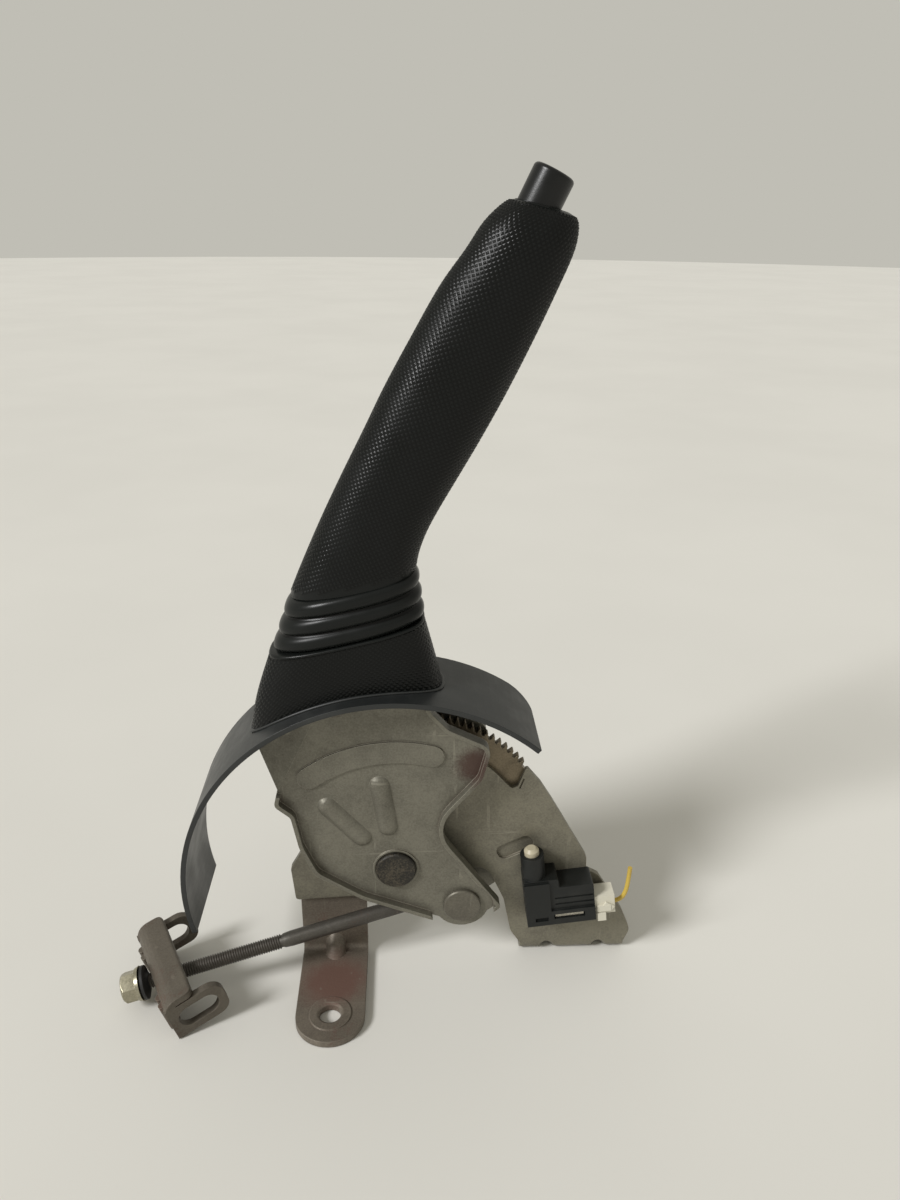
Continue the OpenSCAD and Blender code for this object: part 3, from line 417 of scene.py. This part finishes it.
class Workpiece:
    """One new piece of the scene while its mesh is being made, in millimetres."""

    def __init__(self, name: str) -> None:
        """Starts an empty mesh."""
        self.name = name
        self.bm = bmesh.new()

    def loft(self, rings: list[list[Vector]]) -> list[list[bmesh.types.BMVert]]:
        """Draws a skin through rings that have the same number of points.

        Args:
            rings: Points of each ring, in the same order all round.

        Returns:
            The vertices of each ring.
        """
        count = len(rings[0])
        current = bmesh.ops.create_circle(self.bm, cap_ends=False, segments=count, radius=1.0)["verts"]
        made = [current]
        self._place(current, rings[0])
        for ring in rings[1:]:
            edges = [self.bm.edges.get((current[i], current[(i + 1) % count])) for i in range(count)]
            grown = bmesh.ops.extrude_edge_only(self.bm, edges=edges)["geom"]
            fresh = {v for v in grown if isinstance(v, bmesh.types.BMVert)}
            current = [next(e.other_vert(v) for e in v.link_edges if e.other_vert(v) in fresh)
                       for v in current]
            self._place(current, ring)
            made.append(current)
        return made

    @staticmethod
    def _place(verts: list[bmesh.types.BMVert], points: list[Vector]) -> None:
        """Moves vertices to points."""
        for vert, point in zip(verts, points):
            vert.co = point

    def knurl(self, faces: list[bmesh.types.BMFace], margin: float, height: float) -> None:
        """Turns a grid of four-sided faces into raised diamonds.

        Args:
            faces: The grid.
            margin: Width of the slope round each diamond.
            height: Height of the diamonds over the grid.
        """
        self.face_outward()
        inside = set(faces)
        grid = {e for f in faces for e in f.edges if len(e.link_faces) == 2 and set(e.link_faces) <= inside}
        middles = set(bmesh.ops.poke(self.bm, faces=faces)["verts"])
        bmesh.ops.dissolve_edges(self.bm, edges=list(grid), use_verts=False)
        diamonds = [f for f in self.bm.faces if len(f.verts) == 4 and len(middles & set(f.verts)) == 2]
        bmesh.ops.inset_individual(self.bm, faces=diamonds, thickness=margin, depth=height,
                                   use_even_offset=True)

    def face_outward(self) -> None:
        """Turns all faces outward, also where the piece is open at its ends."""
        bmesh.ops.recalc_face_normals(self.bm, faces=self.bm.faces[:])
        centre = sum((v.co for v in self.bm.verts), Vector()) / len(self.bm.verts)
        outward = sum(f.normal.dot(f.calc_center_median() - centre) * f.calc_area() for f in self.bm.faces)
        if outward < 0:
            bmesh.ops.reverse_faces(self.bm, faces=self.bm.faces[:])

    def finish(self, material: bpy.types.Material, body: Body, slot: str, *nodes: str,
               smooth: bool = True) -> bpy.types.Object:
        """Makes the piece an object that rides on a body.

        Args:
            material: Its finish.
            body: The body that carries it.
            slot: The record's material slot; not used.
            nodes: Solids that it stands for.
            smooth: Whether its faces are shaded smooth.

        Returns:
            The new object.
        """
        bmesh.ops.scale(self.bm, vec=(MM, MM, MM), verts=self.bm.verts[:])
        mesh = bpy.data.meshes.new(self.name)
        self.bm.to_mesh(mesh)
        self.bm.free()
        for face in mesh.polygons:
            face.use_smooth = smooth
        mesh.materials.append(material)
        piece = bpy.data.objects.new(self.name, mesh)
        bpy.context.scene.collection.objects.link(piece)
        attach(piece, body.value)
        if nodes:
            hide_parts(*nodes)
        LOG.info("%s: %d faces on %s", self.name, len(mesh.polygons), body.value)
        return piece


def oval(back: Vector, front: Vector, half: float, power: float, count: int) -> list[Vector]:
    """Lays evenly spaced points round a full rounded section.

    Args:
        back: Rear end of the section, in the lever's plane.
        front: Front end of the section.
        half: Half of its width across the car.
        power: How square it is: 2 is an ellipse.
        count: Number of points.

    Returns:
        The points, from the front end round by the far side.
    """
    fine = POINTS_PER_STEP * count
    middle, reach = (back + front) / 2, (front - back) / 2

    def at(angle: float) -> Vector:
        along = math.copysign(abs(math.cos(angle)) ** (2 / power), math.cos(angle))
        aside = math.copysign(abs(math.sin(angle)) ** (2 / power), math.sin(angle))
        return middle + reach * along + Vector((0, half * aside, 0))

    dense = [at(2 * math.pi * i / fine) for i in range(fine + 1)]
    steps = [0.0]
    for first, second in zip(dense, dense[1:]):
        steps.append(steps[-1] + (second - first).length)
    points, j = [], 0
    for i in range(count):
        wanted = steps[-1] * i / count
        while steps[j + 1] < wanted:
            j += 1
        share = (wanted - steps[j]) / (steps[j + 1] - steps[j])
        points.append(dense[j].lerp(dense[j + 1], share))
    return points


@dataclass
class Grip:
    """Handle, bellows rings and skirt of the lever's black grip.

    Lengths are in millimetres and angles in degrees. The handle's knots go by the height along the shank,
    those of the skirt and its bead by the height in the boot. The spans of the rings are a start and a
    gain per ring.
    """

    lean: float = 26.0
    axis_mark: tuple[float, float] = (-13.7, 125.0)
    boot_tilt: float = 13.0
    cell: float = 2.0
    columns: int = 54
    knurl_height: float = 0.36
    knurl_slope: float = 0.46
    handle_low: float = -22.0
    handle_top: float = 140.5
    mouth_radius: float = 7.3
    handle_power: float = 2.4
    skirt_power: float = 3.0
    ring_power: float = 2.5
    handle_back: Knots = ((-22, -19), (-14.5, -19.4), (-3, -20), (14, -20.5), (32, -20.5), (52, -20.1),
                          (68, -19.9), (86, -18.9), (106, -17.4), (121, -14.8), (130.3, -13.6),
                          (136, -11.6), (139.6, -9.4), (140.5, -7.6))
    handle_front: Knots = ((-22, 24), (14, 18.2), (21, 16.4), (29, 15.5), (38, 15.6), (52, 16.5), (68, 17.5),
                           (86, 18.1), (106, 18), (121, 17.4), (130.3, 16.7), (136, 15.1), (139.6, 12.8),
                           (140.5, 10))
    handle_half: Knots = ((-22, 14.6), (10, 14.9), (25, 15.2), (52, 15.4), (68, 15.4), (86, 15.2), (121, 15),
                          (130.3, 14), (136, 12.2), (139.6, 9.8), (140.5, 7.8))
    top_tilt: Knots = ((-22, 0), (104, 0), (121, 0.09), (130, 0.18), (140.5, 0.22))
    tilt_about: float = -5.0
    handle_foot: tuple[tuple[float, float], tuple[float, float]] = ((-14.5, -19.4), (14, 18.2))
    skirt_back: Knots = ((74, -39.4), (88, -33.1), (105.2, -22.6))
    skirt_front: Knots = ((74, 36.7), (88, 36.5), (105.2, 36))
    skirt_half: Knots = ((74, 14.4), (88, 14.0), (105.2, 14.0))
    plan_size: tuple[float, float] = (34.0, 14.0)
    skirt_columns: int = 76
    skirt_rows: int = 12
    skirt_top: float = 104.4
    bead: Knots = ((104.6, 0.35), (105, 0.6), (105.4, 0.6), (105.75, 0.3), (105.95, -0.3), (106, -4))
    ring_from: float = 106.0
    ring_pitch: float = 6.35
    ring_height: float = 2.7
    ring_count: int = 3
    ring_steps: int = 14
    ring_back: tuple[float, float] = (-19.4, 3.9)
    ring_front: tuple[float, float] = (34.4, 0.6)
    ring_half: tuple[float, float] = (12.4, 0.4)
    ring_neck: tuple[float, float] = (-0.25, -0.5)
    ring_inside: tuple[float, ...] = (-2.5, -7.0)
    dome_steps: tuple[float, ...] = (6.2, 4.4, 2.8, 1.5, 0.6, 0.0)
    mouth_steps: Knots = ((0, 0.3), (0.5, 0), (4, 0))
    foot_steps: Knots = ((0.4, 0.0), (0.4, 0.25), (0.0, 0.8), (-1.5, 2.2))
    skirt_gap: float = 0.15
    foot_guess: float = 76.0
    foot_tries: int = 6
    rim: Knots = ((-1.0, -0.4), (1.1, -0.4), (1.2, 0.3), (0.9, 0.65), (0.4, 0.7), (-1.0, 0.5))
    slot: str = "grip_plastic"
    cover_slot: str = "cover_plastic"

    def on_shank(self, s: float, b: float) -> Vector:
        """Gives the point at a height along the shank and a distance ahead of its axis."""
        a = math.radians(self.lean)
        return PIVOT + Vector((self.axis_mark[0] + s * math.sin(a) + b * math.cos(a), 0,
                               self.axis_mark[1] + s * math.cos(a) - b * math.sin(a)))

    def on_boot(self, r: float, t: float) -> Vector:
        """Gives the point at a height in the boot and a distance ahead of its middle."""
        a = math.radians(self.boot_tilt)
        return PIVOT + Vector((t * math.cos(a) - r * math.sin(a), 0, r * math.cos(a) + t * math.sin(a)))

    def build(self, wardrobe: Wardrobe) -> None:
        """Makes the three pieces of the grip and the rim round its foot."""
        self._handle(wardrobe.material(self.slot))
        self._bellows(wardrobe.material(self.slot))
        self._skirt(wardrobe.material(self.slot))
        self._cover_rim(wardrobe.material(self.cover_slot))

    def _handle_ring(self, s: float, shrink: float = 0.0) -> list[Vector]:
        """Gives the handle's section at a height, drawn in by a distance."""
        tilt = smooth_value(self.top_tilt, s)
        back = smooth_value(self.handle_back, s) + shrink
        front = smooth_value(self.handle_front, s) - shrink
        return oval(self.on_shank(s + tilt * (back - self.tilt_about), back),
                    self.on_shank(s + tilt * (front - self.tilt_about), front),
                    smooth_value(self.handle_half, s) - shrink, self.handle_power, self.columns)

    def _handle(self, material: bpy.types.Material) -> None:
        """Lofts the handle, cuts its slanted foot and knurls it."""
        piece = Workpiece("grip_handle")
        dome = [self.handle_top - below for below in self.dome_steps]
        count = int((dome[0] - self.handle_low) / self.cell)
        rows = [self.handle_low + self.cell * i for i in range(count)]
        mouth = [self._mouth(self.handle_top - below, self.mouth_radius + wider)
                 for below, wider in self.mouth_steps]
        rings = piece.loft([self._handle_ring(s, self.knurl_height) for s in rows + dome] + mouth)
        low, high = (self.on_shank(*point) for point in self.handle_foot)
        normal = (high - low).cross(Vector((0, 1, 0)))
        if normal.z > 0:
            normal.negate()
        cut = bmesh.ops.bisect_plane(piece.bm, geom=piece.bm.verts[:] + piece.bm.edges[:] + piece.bm.faces[:],
                                     plane_co=low, plane_no=normal, clear_outer=True)
        rim = [e for e in cut["geom_cut"] if isinstance(e, bmesh.types.BMEdge)]
        top = {v for ring in rings[-len(mouth) - 1:] for v in ring}
        rim_verts = {v for e in rim for v in e.verts}
        grid = [f for f in piece.bm.faces
                if len(f.verts) == 4 and not top & set(f.verts) and not rim_verts & set(f.verts)]
        self._foot_rim(piece, rim, normal.normalized())
        piece.knurl(grid, self.knurl_slope, self.knurl_height)
        piece.finish(material, Body.LEVER, self.slot, "grip")

    def _mouth(self, s: float, r: float) -> list[Vector]:
        """Gives a round ring about the button at a height."""
        tilt = smooth_value(self.top_tilt, s)
        return oval(self.on_shank(s + tilt * (-r - self.tilt_about), -r),
                    self.on_shank(s + tilt * (r - self.tilt_about), r), r, ELLIPSE, self.columns)

    def _foot_rim(self, piece: Workpiece, rim: list[bmesh.types.BMEdge], outward: Vector) -> None:
        """Turns the cut foot of the handle in to a rounded rim."""
        centre = sum((e.verts[0].co for e in rim), Vector()) / len(rim)
        edges = rim
        for drop, inward in self.foot_steps:
            grown = bmesh.ops.extrude_edge_only(piece.bm, edges=edges)["geom"]
            fresh = {v for v in grown if isinstance(v, bmesh.types.BMVert)}
            for vert in fresh:
                toward = (centre - vert.co).normalized()
                vert.co += outward * drop + toward * inward
            edges = [e for e in grown if isinstance(e, bmesh.types.BMEdge) and fresh.issuperset(e.verts)]

    def _boot_ring(self, r: float, back: float, front: float, half: float, power: float) -> list[Vector]:
        """Gives a level section of the boot."""
        return oval(self.on_boot(r, back), self.on_boot(r, front), half, power, self.skirt_columns)

    def _bellows_ring(self, rise: float, bulge: float) -> list[Vector]:
        """Gives the section of the bellows at a height counted in rings, let out by a distance."""
        spans = (self.ring_back, self.ring_front, self.ring_half)
        back, front, half = (start + gain * rise for start, gain in spans)
        return self._boot_ring(self.ring_from + self.ring_pitch * rise, back - bulge, front + bulge,
                               half + bulge, self.ring_power)

    def _bellows(self, material: bpy.types.Material) -> None:
        """Lofts the three smooth rings."""
        piece = Workpiece("grip_bellows")
        rings = [self._bellows_ring(*self.ring_neck)]
        for i in range(self.ring_count):
            for k in range(self.ring_steps):
                f = (k + 0.5) / self.ring_steps
                bulge = self.ring_height * math.sqrt(1 - (2 * f - 1) ** 2)
                rings.append(self._bellows_ring(i + f, bulge))
        rings += [self._bellows_ring(self.ring_count, bulge) for bulge in self.ring_inside]
        piece.loft(rings)
        piece.face_outward()
        piece.finish(material, Body.LEVER, self.slot, "grip")

    def _skirt_point(self, unit: Vector, share: float) -> Vector:
        """Gives the skirt's point in a direction, at a share of its height over the slot cover."""
        low = self.foot_guess
        for _ in range(self.foot_tries):
            ahead = self._skirt_ahead(unit.x, low)
            low = math.sqrt((COVER_RADIUS + self.skirt_gap) ** 2 - ahead ** 2)
        r = low + (self.skirt_top - low) * share
        aside = smooth_value(self.skirt_half, r) * unit.y
        return self.on_boot(r, self._skirt_ahead(unit.x, r)) + Vector((0, aside, 0))

    def _cover_rim(self, material: bpy.types.Material) -> None:
        """Lays the slot cover's raised rim round the foot of the skirt."""
        piece = Workpiece("cover_rim")
        foot = [self._skirt_point(unit, 0) for unit in self._skirt_plan()]
        centre = sum(foot, Vector()) / len(foot)
        rings = []
        for out, up in self.rim:
            ring = []
            for point in foot:
                radial = (point - PIVOT) * Vector((1, 0, 1))
                radial.normalize()
                outward = point - centre
                outward = (outward - radial * outward.dot(radial)).normalized()
                ring.append(point + outward * out + radial * up)
            rings.append(ring)
        piece.loft(rings + rings[:1])
        bmesh.ops.remove_doubles(piece.bm, verts=piece.bm.verts[:], dist=1e-4)
        piece.face_outward()
        piece.finish(material, Body.LEVER, self.cover_slot)

    def _skirt_plan(self) -> list[Vector]:
        """Gives the skirt's outline seen from above, each half width and length scaled to one."""
        length, width = self.plan_size
        plan = oval(Vector((-length, 0, 0)), Vector((length, 0, 0)), width, self.skirt_power,
                    self.skirt_columns)
        return [Vector((p.x / length, p.y / width, 0)) for p in plan]

    def _skirt_ahead(self, along: float, r: float) -> float:
        """Gives how far ahead a point of the skirt lies, from its place between back and front."""
        back, front = smooth_value(self.skirt_back, r), smooth_value(self.skirt_front, r)
        return (back + front) / 2 + (front - back) / 2 * along

    def _skirt(self, material: bpy.types.Material) -> None:
        """Lofts the skirt from the slot cover up to its bead, and knurls it."""
        piece = Workpiece("grip_skirt")
        rows = self.skirt_rows
        units = self._skirt_plan()
        rings = [[self._skirt_point(u, k / rows) for u in units] for k in range(rows + 1)]
        back, front, half = (knots[-1][1] for knots in (self.skirt_back, self.skirt_front, self.skirt_half))
        bead = [self._boot_ring(r, back - grow, front + grow, half + grow, self.skirt_power)
                for r, grow in self.bead]
        made = piece.loft(rings + bead)
        bead_verts = {v for ring in made[rows + 1:] for v in ring}
        grid = [f for f in piece.bm.faces if not set(f.verts) & bead_verts]
        piece.knurl(grid, self.knurl_slope, self.knurl_height)
        piece.finish(material, Body.LEVER, self.slot, "grip")


@dataclass
class AdjustingRod:
    """Rod from the lever to the equalizer, with its eye and its rolled thread.

    Lengths are in millimetres and angles in degrees. Places along the rod count from its pin. The ridge of
    the thread is given in shares of its height and of the pitch.
    """

    pin: tuple[float, float, float] = (54.4416, 37.4, 33.7852)
    yaw: float = 11.1
    pitch: float = 10.0
    rod_radius: float = 3.15
    thread_radius: float = 3.0
    thread_depth: float = 0.55
    thread_pitch: float = 1.0
    thread_from: float = 78.0
    thread_to: float = 142.5
    eye_radius: float = 7.5
    eye_bore: float = 4.05
    eye_edge: float = 0.7
    eye_steps: int = 40
    shank_from: float = 5.0
    shank_sides: int = 32
    taper_length: float = 4.0
    neck_length: float = 1.0
    neck_depth: float = 0.1
    chamfer: tuple[float, float] = (0.8, 0.5)
    ridge: Knots = ((0, 0), (1, 0.4), (1, 0.55), (0, 0.95))
    ridge_sink: float = 0.05
    turn_steps: int = 20
    slot: str = "rod_steel"

    def build(self, wardrobe: Wardrobe) -> None:
        """Makes the rod in one piece."""
        piece = Workpiece("threaded_rod")
        self._shank(piece)
        self._thread(piece)
        yaw, pitch = math.radians(self.yaw), math.radians(self.pitch)
        rear = Vector((-math.cos(pitch) * math.cos(yaw), -math.cos(pitch) * math.sin(yaw), -math.sin(pitch)))
        turn = Vector((0, 0, 1)).rotation_difference(rear).to_matrix().to_4x4()
        bmesh.ops.transform(piece.bm, matrix=Matrix.Translation(self.pin) @ turn, verts=piece.bm.verts[:])
        self._eye(piece)
        piece.face_outward()
        piece.finish(wardrobe.material(self.slot), Body.ROD, self.slot, "adjusting_rod")

    def _shank(self, piece: Workpiece) -> None:
        """Lofts the plain shank down to the root of the thread."""
        root = self.thread_radius - self.thread_depth
        profile = ((self.shank_from, self.rod_radius),
                   (self.thread_from - self.taper_length, self.rod_radius),
                   (self.thread_from - self.neck_length, self.thread_radius - self.neck_depth),
                   (self.thread_from, root), (self.thread_to, root),
                   (self.thread_to + self.chamfer[0], root - self.chamfer[1]))
        angles = [2 * math.pi * i / self.shank_sides for i in range(self.shank_sides)]
        rings = [[Vector((r * math.cos(a), r * math.sin(a), z)) for a in angles] for z, r in profile]
        made = piece.loft(rings)
        bmesh.ops.contextual_create(piece.bm, geom=made[-1])

    def _thread(self, piece: Workpiece) -> None:
        """Winds the thread's ridge round the root."""
        height = self.thread_depth + self.ridge_sink
        root = self.thread_radius - height
        section = [(root + height * up, 0, self.thread_from + self.thread_pitch * along)
                   for up, along in self.ridge]
        verts = [piece.bm.verts.new(point) for point in section]
        edges = [piece.bm.edges.new(pair) for pair in zip(verts, verts[1:])]
        turns = (self.thread_to - self.thread_from) / self.thread_pitch - 1
        steps = round(turns * self.turn_steps)
        bmesh.ops.spin(piece.bm, geom=verts + edges, cent=(0, 0, 0), axis=(0, 0, 1),
                       dvec=(0, 0, self.thread_pitch / self.turn_steps),
                       angle=2 * math.pi * steps / self.turn_steps, steps=steps, use_merge=False)

    def _eye(self, piece: Workpiece) -> None:
        """Spins the eye round the rod pin."""
        half, edge = self.rod_radius, self.eye_edge
        section = [(self.eye_bore, -half), (self.eye_radius - edge, -half), (self.eye_radius, edge - half),
                   (self.eye_radius, half - edge), (self.eye_radius - edge, half), (self.eye_bore, half)]
        pin = Vector(self.pin)
        verts = [piece.bm.verts.new(pin + Vector((r, y, 0))) for r, y in section]
        edges = [piece.bm.edges.new((verts[i], verts[(i + 1) % len(verts)])) for i in range(len(verts))]
        bmesh.ops.spin(piece.bm, geom=verts + edges, cent=pin, axis=(0, 1, 0), dvec=(0, 0, 0),
                       angle=2 * math.pi, steps=self.eye_steps, use_merge=True)


@dataclass
class LeadWire:
    """Short yellow wire that leaves the switch's plug and ends bare, in millimetres."""

    diameter: float = 1.9
    route: tuple[tuple[float, float, float], ...] = (
        (108, 28.6, 31), (110.4, 28.6, 31.3), (112.8, 28.6, 31.6), (115.2, 28.6, 31.9),
        (117.6, 28.6, 32.2), (119.4, 28.6, 32.425), (121, 28.6, 32.93), (122.3, 28.6, 33.73),
        (123.2, 28.5, 34.93), (123.8, 28.45, 36.43), (124.2, 28.35, 38.2), (124.45, 28.25, 40.2),
        (124.6, 28.15, 42.3), (124.7, 28.05, 44.5), (124.8, 27.95, 47), (124.85, 27.8, 50.2))
    slot: str = "wire_insulation"

    def build(self, wardrobe: Wardrobe) -> None:
        """Draws the wire as a round curve along its route."""
        curve = bpy.data.curves.new("lead_wire_run", "CURVE")
        curve.dimensions = "3D"
        curve.bevel_depth = self.diameter / 2 * MM
        curve.bevel_resolution = 4
        curve.use_fill_caps = True
        spline = curve.splines.new("POLY")
        spline.points.add(len(self.route) - 1)
        for point, place in zip(spline.points, self.route):
            point.co = (*[value * MM for value in place], 1)
        curve.materials.append(wardrobe.material(self.slot))
        wire = bpy.data.objects.new("lead_wire_run", curve)
        bpy.context.scene.collection.objects.link(wire)
        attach(wire, Body.BASE.value)
        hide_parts("lead_wire")


@dataclass
class Studio:
    """Camera at the photograph's angle, pale floor, soft key lamp and pale world.

    Lengths are in millimetres and angles in degrees.
    """

    camera_at: tuple[float, float, float] = (33.15, -283.2, 304.7)
    pitch: float = 22.98
    yaw: float = 2.76
    roll: float = 0.61
    lens: float = 27.9
    sensor_width: float = 36.0
    clip_start: float = 10.0
    floor_radius: float = 6000.0
    floor_drop: float = 0.4
    floor_roughness: float = 0.7
    floor_drift: int = 4
    floor_clouds: float = 3.0
    floor_tone: Colour = (226, 224, 218)
    world_tone: Colour = (192, 190, 181)
    world_share: float = 0.82
    key_from: tuple[float, float, float] = (-0.68, -0.44, 0.59)
    key_strength: float = 2.6
    key_spread: float = 16.0

    def build(self) -> None:
        """Sets up all of it."""
        self._camera()
        self._floor()
        self._light()
        bpy.context.scene.view_settings.view_transform = "Standard"

    def _camera(self) -> None:
        """Places the camera."""
        data = bpy.data.cameras.new("photo_camera")
        data.lens = self.lens
        data.sensor_width = self.sensor_width
        data.clip_start = self.clip_start * MM
        camera = bpy.data.objects.new("photo_camera", data)
        turns = ((-self.yaw, "Z"), (90 - self.pitch, "X"), (self.roll, "Z"))
        yaw, pitch, roll = (Matrix.Rotation(math.radians(angle), 4, axis) for angle, axis in turns)
        camera.matrix_world = Matrix.Translation(Vector(self.camera_at) * MM) @ yaw @ pitch @ roll
        bpy.context.scene.collection.objects.link(camera)
        bpy.context.scene.camera = camera

    def _floor(self) -> None:
        """Lays a large pale floor under the feet."""
        bm = bmesh.new()
        bmesh.ops.create_circle(bm, cap_ends=True, segments=64, radius=self.floor_radius * MM)
        mesh = bpy.data.meshes.new("floor")
        bm.to_mesh(mesh)
        bm.free()
        shade = Shade("pale_floor")
        drift = shade.noise(self.floor_clouds)
        tone = shade.mix(shade.ramp(drift, 0.3, 0.7), linear(self.floor_tone),
                         linear(tuple(channel - self.floor_drift for channel in self.floor_tone)))
        shade.feed(shade.shader, Base_Color=tone, Roughness=self.floor_roughness)
        mesh.materials.append(shade.material)
        floor = bpy.data.objects.new("floor", mesh)
        floor.location.z = -self.floor_drop * MM
        bpy.context.scene.collection.objects.link(floor)

    def _light(self) -> None:
        """Hangs the soft key lamp and sets the pale world."""
        data = bpy.data.lights.new("key", "SUN")
        data.energy = self.key_strength
        data.angle = math.radians(self.key_spread)
        lamp = bpy.data.objects.new("key", data)
        lamp.rotation_euler = (-Vector(self.key_from)).to_track_quat("-Z", "Y").to_euler()
        bpy.context.scene.collection.objects.link(lamp)
        world = bpy.data.worlds.new("pale_room")
        world.use_nodes = True
        nodes, links = world.node_tree.nodes, world.node_tree.links
        path = nodes.new("ShaderNodeLightPath")
        seen = path.outputs["Is Camera Ray"]
        for ray in ("Is Glossy Ray", "Is Transmission Ray"):
            either = nodes.new("ShaderNodeMath")
            either.operation = "MAXIMUM"
            links.new(seen, either.inputs[0])
            links.new(path.outputs[ray], either.inputs[1])
            seen = either.outputs[0]
        strength = nodes.new("ShaderNodeMapRange")
        strength.inputs["To Min"].default_value = self.world_share
        links.new(seen, strength.inputs["Value"])
        background = nodes["Background"]
        background.inputs["Color"].default_value = linear(self.world_tone)
        links.new(strength.outputs[0], background.inputs["Strength"])
        bpy.context.scene.world = world


def main() -> None:
    """Builds and dresses every piece in order."""
    logging.basicConfig(level=logging.INFO, format="%(message)s")
    Studio().build()
    wardrobe = Wardrobe()
    wardrobe.dress_nodes()
    LeadWire().build(wardrobe)
    Grip().build(wardrobe)
    AdjustingRod().build(wardrobe)


if __name__ == "__main__":
    main()
